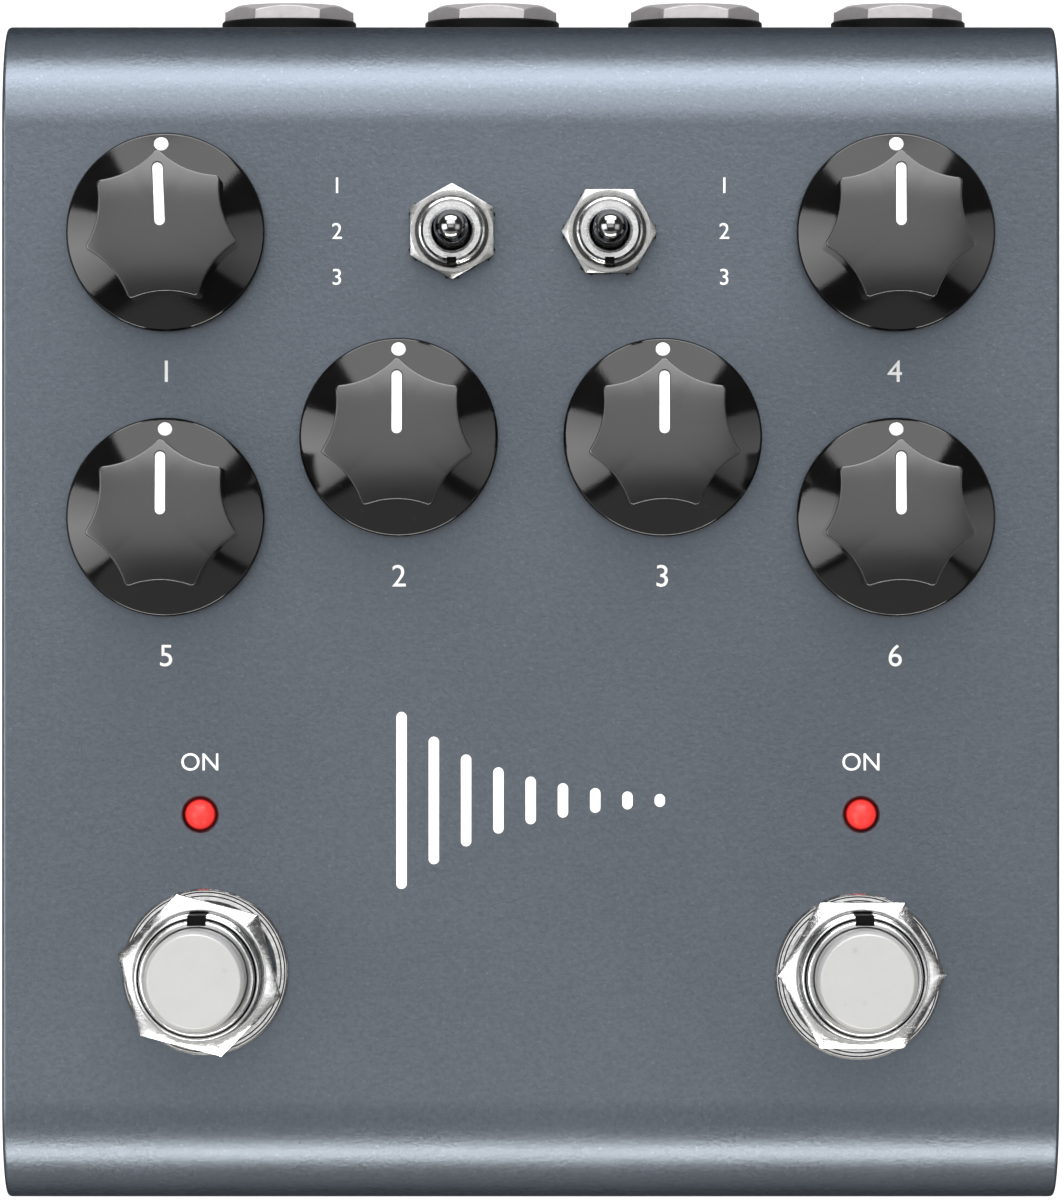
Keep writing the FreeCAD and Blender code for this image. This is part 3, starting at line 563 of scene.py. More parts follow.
def makeFinish(name):
    look = startFinish(name, dict(zip(lookNames, finishes[name])))
    place = objectPlace()
    height = useMottle(place, look.grain)
    smudge = useMottle(place, look.smudge, (1, 1.3, 0.8))
    lines = useGroup(scratches, Place=place, Length=wear["scratchLength"], Amount=look.scratch)
    dots = useGroup(specks, Place=place, Spacing=wear["speckSpacing"], Fill=look.speck)
    colour = mix(smudge, look.colour, look.second)
    brighter = [min(1.0, value * 1.3 + 0.002) for value in look.colour]
    colour = mix(times(lines, 0.5), colour, brighter)
    darker = [value * 0.5 + 0.001 for value in look.colour]
    colour = mix(times(dots, 0.45), colour, darker)
    half = look.spread / 2
    rough = ramp(smudge, 0.0, 1.0, look.rough - half, look.rough + half)
    rough = plus(rough, times(lines, 0.1), times(dots, 0.1))
    if look.rings:
        marks = useGroup(ringMarks, OwnPlace=ownPlace(), Spacing=wear["ringSpacing"])
        height = plus(height, times(marks, look.rings))
        rough = plus(rough, times(marks, 0.06))
    height = plus(height, times(lines, -0.8), times(dots, -0.5))
    if name in swells:
        height = plus(height, times(useMottle(place, wear["swellSize"]), swells[name]))
    return endSurface(colour, rough, height, look.height, {
        "Metallic": look.metal, "Specular IOR Level": shines.get(name, 0.5),
    })


finish = {name: makeFinish(name) for name in finishes}

caseLook = dict(
    dark=(0.095, 0.109, 0.129), light=(0.142, 0.161, 0.187), glint=1.7, metal=0.86, rough=0.34,
    blast=0.42, fine=0.15, height=0.013, cloud=26.0, speckSpacing=0.42, speckFill=0.3,
)


def makeCaseFinish():  # bead-blasted, anodised slate grey
    look = startFinish("anodisedCase", caseLook)
    place = objectPlace()
    blast, fine, cloud = [useMottle(place, size) for size in (look.blast, look.fine, look.cloud)]
    dots = useGroup(specks, Place=place, Spacing=look.speckSpacing, Fill=look.speckFill)
    share = plus(times(blast, 0.5), times(fine, 0.35), times(cloud, 0.15))
    colour = mix(share, look.dark, look.light)
    colour = mix(times(dots, 0.25), colour, [value * look.glint for value in look.light])
    rough = plus(look.rough - 0.08, times(blast, 0.1), times(cloud, 0.05), times(dots, -0.05))
    height = plus(blast, times(fine, 0.45), times(dots, 0.15))
    return endSurface(colour, rough, height, look.height, {
        "Metallic": look.metal, "Specular IOR Level": 0.0, "Specular Tint": (0.0, 0.0, 0.0),
    })


knobLook = dict(
    black=(0.002, 0.002, 0.0022), worn=(0.0035, 0.0035, 0.0035), dust=(0.03, 0.03, 0.03), grain=0.16, height=0.0012,
    smudge=3.5, skirtRough=0.05, topRough=0.23, coatIor=1.65, topFrom=11.45, topFull=11.75,
    speckSpacing=0.7, speckFill=0.02,
)


def makeKnobFinish():  # moulded black plastic, semi-gloss, with a satin top
    look = startFinish("knobMoulding", knobLook)
    place = objectPlace()
    grain, smudge = useMottle(place, look.grain), useMottle(place, look.smudge)
    dots = useGroup(specks, Place=place, Spacing=look.speckSpacing, Fill=look.speckFill)
    colour = mix(times(dots, 0.2), mix(smudge, look.black, look.worn), look.dust)
    top = ramp(addNode("SeparateXYZ", {0: ownPlace()})["Z"], look.topFrom, look.topFull)
    rough = ramp(top, 0.0, 1.0, look.skirtRough, look.topRough)
    rough = plus(rough, times(smudge, 0.04), times(dots, 0.06))
    return endSurface(colour, rough, grain, look.height, {
        "Coat Weight": top, "Coat IOR": look.coatIor, "Coat Roughness": look.topRough,
    })


inkLook = dict(white=(0.9, 0.9, 0.89), thin=(0.82, 0.82, 0.82), rough=0.5, grain=0.22, height=0.004)


def makeInk():  # white paint, slightly uneven
    look = startFinish("whiteInk", inkLook)
    grain = useMottle(objectPlace(), look.grain)
    colour = mix(ramp(grain, 0.4, 1.0), look.white, look.thin)
    rough = ramp(grain, 0.0, 1.0, look.rough, look.rough + 0.2)
    return endSurface(colour, rough, grain, look.height, {})


lampLook = dict(
    lit=(0.86, 0.035, 0.03), rim=(0.10, 0.004, 0.005), rimFrom=1.25, rimFull=1.5, glow=0.5,
    haze=0.5, height=0.001, shine=0.3,
)


def makeLampFinish():  # a lit red lens, darker towards its rim: partly its own dimmer edge, partly painted shade of the gap round it
    look = startFinish("redLens", lampLook)
    haze = useMottle(objectPlace(), look.haze)
    # partly painted shade: the darker rim also stands for the shade in the gap round the lens
    rim = ramp(fromAxis(ownPlace()), look.rimFrom, look.rimFull)
    colour = mix(plus(rim, times(haze, 0.06)), look.lit, look.rim)
    return endSurface(colour, ramp(haze, 0.0, 1.0, 0.3, 0.42), haze, look.height, {
        "Emission Color": colour, "Emission Strength": look.glow, "Specular IOR Level": look.shine,
    })


for made in (makeCaseFinish(), makeKnobFinish(), makeInk(), makeLampFinish()):
    finish[made.name] = made
print("finishes are made")


# Where the controls stand, in mm, and how far a knob or nut is turned, in degrees
knobPlaces = {
    "rear_left": (-35.0, 35.0, 2.5), "rear_right": (35.0, 35.0, 0.0),
    "middle_left": (-12.65, 15.35, 0.0), "middle_right": (12.65, 15.35, 0.0),
    "front_left": (-35.0, 7.7, 0.0), "front_right": (35.0, 7.7, 0.0),
}
togglePlaces = {"left": (-7.55, 35.1), "right": (7.55, 35.1)}
lampPlaces = {"left": (-31.75, -20.85), "right": (31.75, -20.85)}
footswitchPlaces = {"left": (-31.75, -36.2), "right": (31.75, -36.2)}
jackPlaces = (-23.8, -3.8, 16.2, 36.2)

caseForm = dict(
    width=101.6, front=-58.25, rear=55.45, low=4.6, top=44.4,
    edgeRound=10.0, roundSteps=24, wall=2.0, endSoft=0.4,
    potHole=3.6, toggleHole=3.275, lampHole=1.67, switchHole=6.1, jackHole=4.6, inletHole=4.4,
    jackHeight=23.9, inletAcross=-41.0, inletHeight=25.3,
)


def caseDepthAt(spot):  # how far a point lies inside the case's end outline
    form = Values(**caseForm)
    reach = form.edgeRound
    near, inTop = min(spot.y - form.front, form.rear - spot.y), form.top - spot.z
    if near < reach and inTop < reach:
        return reach - hypot(reach - near, reach - inTop)
    return min(near, inTop)


def makeWrap():  # the shell: front, top and rear in one bent sheet
    form = Values(**caseForm)
    half = form.width / 2
    wrap = cuboid((-half, form.front, form.low), (half, form.rear, form.top))
    pick(wrap, "FACE", lambda centre, normal: normal.z < -0.5 or abs(normal.x) > 0.5)
    bpy.ops.mesh.delete(type="FACE")
    pick(wrap, "EDGE", lambda a, b: min(a.z, b.z) > form.top - 0.4 and abs(a.y - b.y) < 1)
    bevelPicked(form.edgeRound, form.roundSteps)
    addModifier(wrap, "SOLIDIFY", thickness=form.wall * mm, use_even_offset=True)
    pick(wrap, "EDGE", lambda a, b: (
        abs(a.x) > half - 0.01 and abs(a.x - b.x) < 0.01 and max(caseDepthAt(a), caseDepthAt(b)) < 0.02
        and max(a.z, b.z) >= form.low + 0.01
    ))
    bevelPicked(form.endSoft, 3)
    low, high = form.top - form.wall - 1, form.top + 1
    tools = [rod(form.potHole, low, high, place[:2]) for place in knobPlaces.values()]
    tools += [rod(form.toggleHole, low, high, place) for place in togglePlaces.values()]
    tools += [rod(form.switchHole, low, high, place) for place in footswitchPlaces.values()]
    hole = form.lampHole
    rings = [(hole, low), (hole, form.top - 0.14), (hole + 0.16, form.top + 0.02)]
    tools += [setDown(lathe(rings), (x, y, 0)) for x, y in lampPlaces.values()]
    near, far = form.rear - form.wall - 1, form.rear + 1
    tools += [rod(form.jackHole, near, far, (x, form.jackHeight), along="y") for x in jackPlaces]
    tools.append(rod(form.inletHole, near, far, (form.inletAcross, form.inletHeight), along="y"))
    cutWith(wrap, tools)
    smoothPiece(wrap, 30.0)
    wearRide(wrap, "caseWrap", "anodisedCase", "anodised_case", "top_shell")


def cornersOf(form):
    return [(x, y) for x in (-form.across, form.across) for y in (form.front, form.rear)]


screwForm = dict(
    across=42.8, front=-51.75, rear=48.95, hole=1.6, sink=2.85,
    head=2.75, shank=1.5, length=5.0, pitch=0.5, slotWidth=0.75, slotDepth=1.0, low=3.0,
)
panForm = dict(
    across=50.6, front=-57.85, rear=55.05, flapFront=-56.05, flapRear=53.25,
    low=3.0, top=42.2, wall=1.6, foldRound=1.8, cornerRound=7.8, soft=0.18,
)


def makePan():  # the base and both ends, folded from one sheet
    form, screw = Values(**panForm), Values(**screwForm)
    half, low = form.across, form.low
    pan = cuboid((-half, form.flapFront, low), (half, form.flapRear, form.top))
    pick(pan, "FACE", lambda centre, normal: normal.z > 0.5 or abs(normal.y) > 0.5)
    bpy.ops.mesh.delete(type="FACE")
    pick(pan, "EDGE", lambda a, b: max(a.z, b.z) < low + 0.1 and abs(a.x - b.x) < 1)
    bevelPicked(form.foldRound, 8)
    pick(pan, "VERT", lambda spot: spot.z > form.top - 0.1)
    bevelPicked(form.cornerRound, 16, "VERTICES")
    for edge, reach in ((form.flapFront, form.front), (form.flapRear, form.rear)):
        pick(pan, "EDGE", lambda a, b: max(a.z, b.z) < low + 0.01 and max(abs(a.y - edge), abs(b.y - edge)) < 0.01)
        extrudeBy(0, reach - edge, 0)
    closeUp()
    addModifier(pan, "SOLIDIFY", thickness=form.wall * mm, use_even_offset=True)
    hole, sink = screw.hole, screw.sink
    rings = [(sink, low - 1), (sink, low), (hole, low + sink - hole), (hole, low + form.wall + 1)]
    cutWith(pan, [setDown(lathe(rings, 64), (x, y, 0)) for x, y in cornersOf(screw)])
    softenEdges(pan, form.soft, 2)
    smoothPiece(pan, 30.0)
    wearRide(pan, "basePan", "basePaint", "base_metal", "base_pan")


footForm = dict(
    radius=6.0, height=3.0, soft=0.75, recess=2.6, recessDepth=1.1, across=38.8, front=-38.25, rear=35.45,
)


def makeFeet():
    form = Values(**footForm)
    rings = [(form.recess, form.recessDepth), (form.recess, 0.25), (form.recess + 0.25, 0.0)]
    rings += arcRings(form.radius - form.soft, form.soft, form.soft, -90, 0, 6)
    rings += [(form.radius, form.height - 0.15), (form.radius - 0.15, form.height)]
    foot = lathe(rings)
    smoothPiece(foot, 40.0)
    for number, (x, y) in enumerate(cornersOf(form), 1):
        copyTo(foot, (x, y, 0), "rubberFoot%d" % number, "footRubber", "rubber", "rubber_feet")
    dropPatterns(foot)


def makeBaseScrews():
    form = Values(**screwForm)
    drop = form.head - form.shank
    rings = [(form.head - 0.08, 0.0), (form.head, 0.08), (form.shank, drop)]
    rings += threadRings(form.shank, drop, form.length - 0.3, form.pitch)
    rings.append((form.shank - 0.3, form.length))
    screw = lathe(rings, 64)
    half, wide, deep = form.head / 2, form.slotWidth / 2, form.slotDepth
    tools = [cuboid((-half, -wide, -0.5), (half, wide, deep), turn) for turn in (45, 135)]
    tools.append(lathe([(wide * 1.7, -0.5), (wide * 1.5, 0.0), (0.25, deep)], 24))
    cutWith(screw, tools)
    softenEdges(screw, 0.04, 1)
    finishOff(screw, 30.0)
    for number, (x, y) in enumerate(cornersOf(form), 1):
        copyTo(screw, (x, y, form.low), "baseScrew%d" % number, "blackSteel", "steel_screw", "base_screws")
    dropPatterns(screw)


makeWrap()
makePan()
makeFeet()
makeBaseScrews()
print("case, base, feet and screws are made")


knobForm = dict(
    points=7, grip=7.28, flute=1.2, pointRound=0.45, stepsPerHalf=32,
    low=45.3, rim=1.45, skirt=9.525, skirtRise=2.7, height=12.5,
    skirtDome=0.012, crown=33.0, edgeRound=0.12, bottomHollow=6.0,
    lineWidth=1.15, lineStart=0.58, lineEnd=5.65, lineDepth=0.25, lineGap=0.09,
    dotRadius=0.72, dotPlace=8.45,
)
knob = Values(**knobForm)
halfPoint = pi / knob.points
fluteRadius = knob.grip - knob.flute


def gripRadiusAt(angle):  # the star outline's radius, angle from the nearest point's direction
    small = knob.pointRound
    centre = knob.grip - small
    chord = centre ** 2 + fluteRadius ** 2 - 2 * centre * fluteRadius * cos(halfPoint)
    curve = (chord - small ** 2) / (2 * (centre * cos(halfPoint) + small - fluteRadius))
    away = fluteRadius + curve
    lean = atan2(away * sin(halfPoint), away * cos(halfPoint) - centre)
    meet = atan2(small * sin(lean), centre + small * cos(lean))
    if angle < meet:
        return centre * cos(angle) + sqrt(small ** 2 - (centre * sin(angle)) ** 2)
    angle = halfPoint - angle
    return away * cos(angle) - sqrt(curve ** 2 - (away * sin(angle)) ** 2)


def stepAt(spot):  # a spot's place between a point of the star and the next flute, in steps
    angle = atan2(spot.x, spot.y) % (2 * halfPoint)
    return round(min(angle, 2 * halfPoint - angle) / halfPoint * knob.stepsPerHalf)


def crownHeightAt(radius):
    return knob.height - radius ** 2 / (2 * knob.crown)


def skirtHeightAt(radius):  # a slightly domed cone
    share = (knob.skirt - radius) / (knob.skirt - fluteRadius)
    return knob.rim + (knob.skirtRise - knob.rim) * share + knob.skirtDome * 4 * share * (1 - share)


def makeGrip():
    base = knob.rim + 0.6
    rise = knob.height - crownHeightAt(knob.grip)
    grip = startDisc(knob.grip, knob.points * knob.stepsPerHalf * 2, (0, 0, base))
    for step in range(knob.stepsPerHalf + 1):
        pick(grip, "VERT", lambda spot: stepAt(spot) == step)
        resizeFlat(gripRadiusAt(halfPoint * step / knob.stepsPerHalf) / knob.grip)
    bpy.ops.mesh.select_mode(type="FACE")
    bpy.ops.mesh.select_all(action="SELECT")
    extrudeBy(0, 0, knob.height - knob.edgeRound - rise - base)
    before = (0.0, 0.0)
    for step in range(1, 6):
        angle = radians(18 * step)
        after = (knob.edgeRound * (1 - cos(angle)), knob.edgeRound * sin(angle))
        bpy.ops.mesh.inset(thickness=(after[0] - before[0]) * mm, depth=(after[1] - before[1]) * mm)
        before = after
    for share in (0.985, 0.96, 0.92, 0.88, 0.84, 0.8, 0.74, 0.66, 0.4):
        extrudeBy(0, 0, 0)
        resizeFlat(share)
    bpy.ops.transform.translate(
        value=(0, 0, rise * mm), use_proportional_edit=True, proportional_edit_falloff="INVERSE_SQUARE",
        proportional_size=knob.grip * mm,
    )
    closeUp()
    return grip


def makeStadium(halfWidth, start, end, low, high, steps):  # a rod-ended bar along y, split along its length
    bar = startDisc(halfWidth, 48, (0, end, low))
    pick(bar, "VERT", lambda spot: spot.y < end - 0.01)
    bpy.ops.transform.translate(value=(0, (start - end) * mm, 0))
    for step in range(1, steps):
        y = start + (end - start) * step / steps
        toEdit(bar, "FACE")
        bpy.ops.mesh.bisect(plane_co=(0, y * mm, low * mm), plane_no=(0, 1, 0))
    toEdit(bar, "FACE")
    extrudeBy(0, 0, high - low)
    closeUp()
    return bar


def makeKnobs():
    grip = makeGrip()
    edge, hollow, dot = knob.skirt, knob.bottomHollow, knob.dotPlace
    slope = (knob.skirtRise - knob.rim) / (edge - fluteRadius)
    rings = [(hollow, 0.0), (edge - 0.12, 0.0), (edge, 0.12), (edge, knob.rim - 0.2), (edge - 0.04, knob.rim - 0.08)]
    rings.append((edge - 0.13, skirtHeightAt(edge - 0.13) - 0.01))
    rings += [(edge - cut, skirtHeightAt(edge - cut)) for cut in (0.22, 0.3, 1.0, 1.8, 2.6)]
    rings += [(fluteRadius - 0.6, knob.skirtRise + slope * 0.6), (hollow - 0.8, knob.skirtRise - 0.4)]
    rings.append((hollow, knob.skirtRise - 1.2))
    skirt = lathe(rings, 160, bored=True)
    dotSpot = (0, dot, skirtHeightAt(dot))
    dotLean = (-degrees(atan(skirtHeightAt(dot - 0.5) - skirtHeightAt(dot + 0.5))), 0, 0)
    cutWith(skirt, [setDown(rod(knob.dotRadius, -0.3, 1.0, sides=48), dotSpot, dotLean)])
    middle, span = (knob.lineStart + knob.lineEnd) / 2, (knob.lineEnd - knob.lineStart) / 2
    lineSpot = (0, middle, crownHeightAt(middle))
    lineLean = (-degrees(middle / knob.crown), 0, 0)
    half, deep = knob.lineWidth / 2, knob.lineDepth
    cutWith(grip, [setDown(makeStadium(half, -span, span, -deep, 1.0, 1), lineSpot, lineLean)])
    softenEdges(grip, 0.03, 1, 50.0)
    dial = finishOff(join([grip, skirt]), 28.0)
    line = makeStadium(half - knob.lineGap, 0.05 - span, span - 0.05, -deep, -0.05, 8)
    softenEdges(line, 0.05, 2, 50.0)
    setDown(line, lineSpot, lineLean)
    paint = lathe(stepsFrom(knob.dotRadius, 0, ((0.03, 0.3), (0.03, 0.08), (0.1, 0.03))) + [(0.3, -0.02)], 48)
    mark = join([line, setDown(paint, dotSpot, dotLean)])
    smoothPiece(mark, 35.0)
    for name, (x, y, turn) in knobPlaces.items():
        body = "knob_" + name
        copyTo(dial, (x, y, knob.low), "dial_" + name, "knobMoulding", "knob_black", body, turn=turn, body=body)
        copyTo(mark, (x, y, knob.low), "dialMark_" + name, "whiteInk", turn=turn, body=body)
    dropPatterns(dial, mark)


makeKnobs()
print("knobs are made")


toggleForm = dict(
    bushing=3.175, panel=42.4, nutTop=46.9, top=49.0, bore=2.06, mouth=1.95, lip=0.4,
    pitch=0.635, keyWidth=0.9, keyDepth=0.6, boxWide=8.0, boxLong=12.8, boxLow=33.4,
    cavityLow=37.4, ball=2.0, ballHeight=46.5, neck=1.0, tip=1.6, tipTop=58.0,
    tail=0.5, tailLow=41.1, nutLow=44.9, washerLow=44.4,
    nutTurn=dict(left=0.0, right=30.0), washerTurn=dict(left=30.0, right=0.0),
)
toggleNut = dict(flats=8.0, height=2.0, bore=3.22, sink=0.3, faceShare=0.985, chamfer=25.0, bothFaces=True, soft=0.06)
toggleWasher = dict(outer=4.05, inner=3.3, height=0.5, teeth=6, toothReach=4.45, toothWidth=1.3)


def makeToothedWasher():
    washer = Values(**toggleWasher)
    inner, outer, height, half = washer.inner, washer.outer, washer.height, washer.toothWidth / 2
    rings = [(inner, 0), (outer, 0), (outer, height), (inner, height)]
    ring = lathe(rings, bored=True)
    for number in range(washer.teeth):
        tooth = cuboid((inner + 0.3, -half, 0.02), (washer.toothReach, half, height - 0.02))
        cutWith(ring, [setDown(tooth, (0, 0, 0), (0, 0, number * 360 / washer.teeth))], "UNION")
    softenEdges(ring, 0.05, 1)
    return finishOff(ring)


def makeToggleHousing():
    form = Values(**toggleForm)
    bushing, top, mouth, panel = form.bushing, form.top, form.mouth, form.panel
    rings = [(form.bore, panel), (bushing, panel), (bushing, form.nutTop - 0.6)]
    rings += threadRings(bushing, form.nutTop - 0.6, top - 0.3, form.pitch)
    rings += stepsFrom(bushing, top, (
        (0.06, 0.42), (0.2, 0.34), (0.26, 0.2), (0.38, 0.06), (0.44, 0.0), (0.5, 0.0),
    ))
    rings += stepsFrom(mouth, top, ((-0.3, 0.0), (-0.22, 0.0), (-0.08, 0.06), (0.0, 0.2), (0.0, form.lip)))
    rings.append((form.bore, top - form.lip))
    tube = lathe(rings, 128, bored=True)
    keyFloor = form.keyDepth - bushing
    tube = cutKeyway(tube, form.keyWidth / 2, keyFloor, -bushing - 0.5, panel + 0.2, top + 0.5, (
        keyFloor + 0.02, 0.12 - bushing, form.nutLow, top - 0.5,
    ))
    block = softBlock(form.boxWide, form.boxLong, form.boxLow, panel, 0.6)
    cutWith(block, [rod(form.bore, form.cavityLow, panel + 1)])
    return finishOff(join([tube, block]), 30.0)


def makeLever():
    form = Values(**toggleForm)
    middle, neck, tip, stemTop = form.ballHeight, form.neck, form.tip, form.tipTop - form.tip
    rings = [(form.tail - 0.1, form.tailLow), (form.tail, form.tailLow + 0.1)]
    rings += arcRings(0, middle, form.ball, -degrees(acos(form.tail / form.ball)), 60, 15)
    rings += [(neck + 0.02, middle + 2.1), (neck + 0.08, middle + 3.2), (neck + 0.34, middle + 6.0)]
    rings += [(tip - 0.05, stemTop - 1.2)] + arcRings(0, stemTop, tip, 0, 85.8, 12)
    return finishOff(lathe(rings, 72))


def makeToggles():
    form = Values(**toggleForm)
    body, lever, nut, ring = makeToggleHousing(), makeLever(), hexNut(toggleNut), makeToothedWasher()
    keyHalf, keyFloor = form.keyWidth / 2 + 0.02, form.keyDepth - form.bushing + 0.02
    for name, (x, y) in togglePlaces.items():
        piece = copyTo(body, (x, y, 0), "toggleHousing_" + name, "nickel", "toggle_body", "toggle_switch_" + name)
        # painted shade: the keyway's faces and the plug in it are black
        paintShade(piece, (x, y, 0), lambda at, way: abs(at.x) < keyHalf and at.y < keyFloor and at.z > form.nutLow)
        copyTo(lever, (x, y, 0), "toggleBat_" + name, "brightSteel", "nickel", "toggle_lever_" + name,
               body="toggle_" + name)
        copyTo(nut, (x, y, form.nutLow), "toggleNut_" + name, "brushedNickel", "nickel", "toggle_nuts",
               turn=form.nutTurn[name])
        copyTo(ring, (x, y, form.washerLow), "toggleWasher_" + name, "blackWasherAndShade", "steel_screw", "toggle_washers",
               turn=form.washerTurn[name])
    dropPatterns(body, lever, nut, ring)


lampForm = dict(radius=1.5, top=45.3, low=40.0, flange=1.9, flangeHeight=1.0)


def makeLampLenses():
    form = Values(**lampForm)
    radius, flangeTop = form.radius, form.low + form.flangeHeight
    rings = [(form.flange - 0.05, form.low), (form.flange, form.low + 0.05), (form.flange, flangeTop)]
    rings += [(radius, flangeTop)] + arcRings(0, form.top - radius, radius, 0, 88.4, 14)
    lens = finishOff(lathe(rings, 72))
    for name, (x, y) in lampPlaces.items():
        copyTo(lens, (x, y, 0), "lampLens_" + name, "redLens", "lamp_red", "lamp_" + name)
    dropPatterns(lens)


switchForm = dict(
    bushing=6.0, housingTop=40.4, housingLow=25.2, top=53.4, nutTop=47.8, bore=4.86,
    pitch=1.0, keyWidth=1.8, keyDepth=1.0, boxWide=17.2, boxRound=2.0,
    cavity=6.2, cavityLow=26.4, cavityTop=39.0, groove=0.43,
    cap=4.78, capTop=59.4, flange=5.7, flangeLow=37.44, flangeTop=38.94,
    nutLow=45.2, washerLow=44.4, pin=0.4, pinLow=22.4, pinPitch=4.7,
    nutTurn=dict(left=75.5, right=30.0), washerShift=dict(left=(0.5, 0.25), right=(-0.3, -0.2)),
)
switchNut = dict(
    flats=14.0, height=2.6, bore=6.04, sink=0.12, faceShare=0.92, chamfer=26.5, bothFaces=False, soft=0.1,
)
switchWasher = dict(outer=8.0, inner=6.7, height=0.8, soft=0.2, grooves=(7.66, 7.3))


def makeSwitchHousing():
    form = Values(**switchForm)
    bushing, top, low, high = form.bushing, form.top, form.housingLow, form.housingTop
    rings = [(form.bore, high), (bushing, high), (bushing, form.nutTop - 0.8)]
    rings += threadRings(bushing, form.nutTop - 0.8, top - 1.3, form.pitch)
    rings += arcRings(bushing - 0.22, top - 0.95, 0.22, 0, 150, 9)
    rings += [(bushing - form.groove - 0.02, top - 1.15)] + arcRings(bushing - 0.8, top - 0.36, 0.34, -10, 180, 9)
    tube = lathe(rings, 160, bored=True)
    keyFloor = bushing - form.keyDepth
    tube = cutKeyway(tube, form.keyWidth / 2, keyFloor, bushing + 0.5, high + 0.2, top + 0.5, (
        keyFloor - 0.02, bushing - 0.05, form.nutLow, top - 0.75,
    ))
    half = form.boxWide / 2
    block = cuboid((-half, -half, low), (half, half, high))
    pick(block, "EDGE", lambda a, b: abs(a.z - b.z) > 5)
    bevelPicked(form.boxRound, 6)
    softenEdges(block, 0.3, 2)
    cutWith(block, [rod(form.cavity, form.cavityLow, form.cavityTop)])
    cutWith(block, [rod(form.bore, form.cavityTop - 1, high + 1)])
    rings = [(form.pin - 0.12, form.pinLow), (form.pin, form.pinLow + 0.25), (form.pin, low)]
    pins = [setDown(lathe(rings, 24), (number * form.pinPitch, 0, 0)) for number in (-1, 0, 1)]
    return finishOff(join([tube, block] + pins), 30.0)


def makeFootswitches():
    form = Values(**switchForm)
    bushing, top, flange = form.bushing, form.top, form.flange
    body = makeSwitchHousing()
    rings = [(flange - 0.1, form.flangeLow), (flange, form.flangeLow + 0.1), (flange, form.flangeTop)]
    rings += [(form.cap, form.flangeTop)] + stepsFrom(form.cap, form.capTop, (
        (0.0, 0.5), (0.03, 0.42), (0.3, 0.1), (0.36, 0.03), (0.44, 0.0), (0.5, 0.0),
    ))
    button = finishOff(lathe(rings + [(2.0, form.capTop)], 160), 30.0)
    nut = hexNut(switchNut)
    ring = washerPiece(switchWasher)
    keyHalf, keyFloor = form.keyWidth / 2 + 0.02, bushing - form.keyDepth - 0.05
    grooveHeight = switchWasher["height"] - 0.12
    for name, (x, y) in footswitchPlaces.items():
        piece = copyTo(body, (x, y, 0), "switchHousing_" + name, "nickel", "switch_body", "footswitch_" + name)
        # painted shade: the keyway's walls, the plug's top and the groove round the bushing's top are black
        paintShade(piece, (x, y, 0), lambda at, way: (
            abs(at.x) < keyHalf and at.y > keyFloor and at.z > form.nutLow
            and (abs(way.x) > 0.9 or way.y > 0.9 or (way.z > 0.99 and at.z < top - 0.7))
        ) or (abs(hypot(at.x, at.y) - bushing + form.groove) < 0.07 and at.z > top - 1.3))
        copyTo(button, (x, y, 0), "switchButton_" + name, "satinCap", "satin_nickel", "button_" + name,
               body="button_" + name)
        copyTo(nut, (x, y, form.nutLow), "switchNut_" + name, "nickel", "nickel", "footswitch_nuts",
               turn=form.nutTurn[name])
        shift = form.washerShift[name]
        spot = (x + shift[0], y + shift[1], form.washerLow)
        piece = copyTo(ring, spot, "switchWasher_" + name, "nickel", "nickel", "footswitch_washers")
        # painted shade: the bottoms of the washer's grooves are black
        paintShade(piece, spot, lambda at, way: 0 < at.z - grooveHeight < 0.1 and any(
            abs(hypot(at.x, at.y) - radius) < 0.045 for radius in switchWasher["grooves"]
        ))
    dropPatterns(body, button, nut, ring)


makeToggles()
makeLampLenses()
makeFootswitches()
print("toggles, lamps and footswitches are made")


jackForm = dict(
    wide=13.8, inner=19.45, wall=53.45, mouth=58.25, low=14.8, high=31.8, axis=23.9,
    bushing=4.5, bore=3.3, boreEnd=23.25, washerNear=55.45, nutNear=56.7,
)
jackNut = dict(flats=11.0, height=1.54, bore=4.54, sink=0.2, faceShare=0.93, chamfer=28.0, bothFaces=False, soft=0.09)
jackWasher = dict(outer=6.6, inner=4.6, height=1.25, soft=0.15, grooves=())
onRear = (-90, 0, 0)


def socketBody(form, tube):  # the tube through the wall and the bored block behind it
    setDown(tube, (0, form.wall, form.axis), onRear)
    block = softBlock(form.wide, (form.inner, form.wall), form.low, form.high, 0.5)
    cutWith(block, [rod(form.bore, form.boreEnd, form.wall + 1, (0, form.axis), along="y")])
    body = join([tube, block])
    smoothPiece(body, 30.0)
    return body


def makeJacks():
    form = Values(**jackForm)
    length, bushing, bore = form.mouth - form.wall, form.bushing, form.bore
    rings = [(bore, 0.0), (bushing, 0.0), (bushing, length - 0.3), (bushing - 0.25, length), (bore + 0.45, length)]
    rings += [(bore + 0.1, length - 0.3), (bore, length - 0.5)]
    tube = lathe(rings, 128, bored=True)
    keepOwnPlace(tube)
    body = socketBody(form, tube)
    nut = setDown(hexNut(jackNut), (0, 0, 0), (0, 0, 30.0))
    ring = washerPiece(jackWasher)
    for piece in (nut, ring):
        setDown(piece, (0, 0, 0), onRear)
    for number, x in enumerate(jackPlaces, 1):
        copyTo(body, (x, 0, 0), "jackHousing%d" % number, "blackMoulding", "jack_plastic", "jack_%d" % number)
        copyTo(nut, (x, form.nutNear, form.axis), "jackNut%d" % number, "satinNickel", "satin_nickel", "jack_nuts")
        spot = (x, form.washerNear, form.axis)
        copyTo(ring, spot, "jackWasher%d" % number, "blackWasherAndShade", "washer_black", "jack_washers")
    dropPatterns(body, nut, ring)


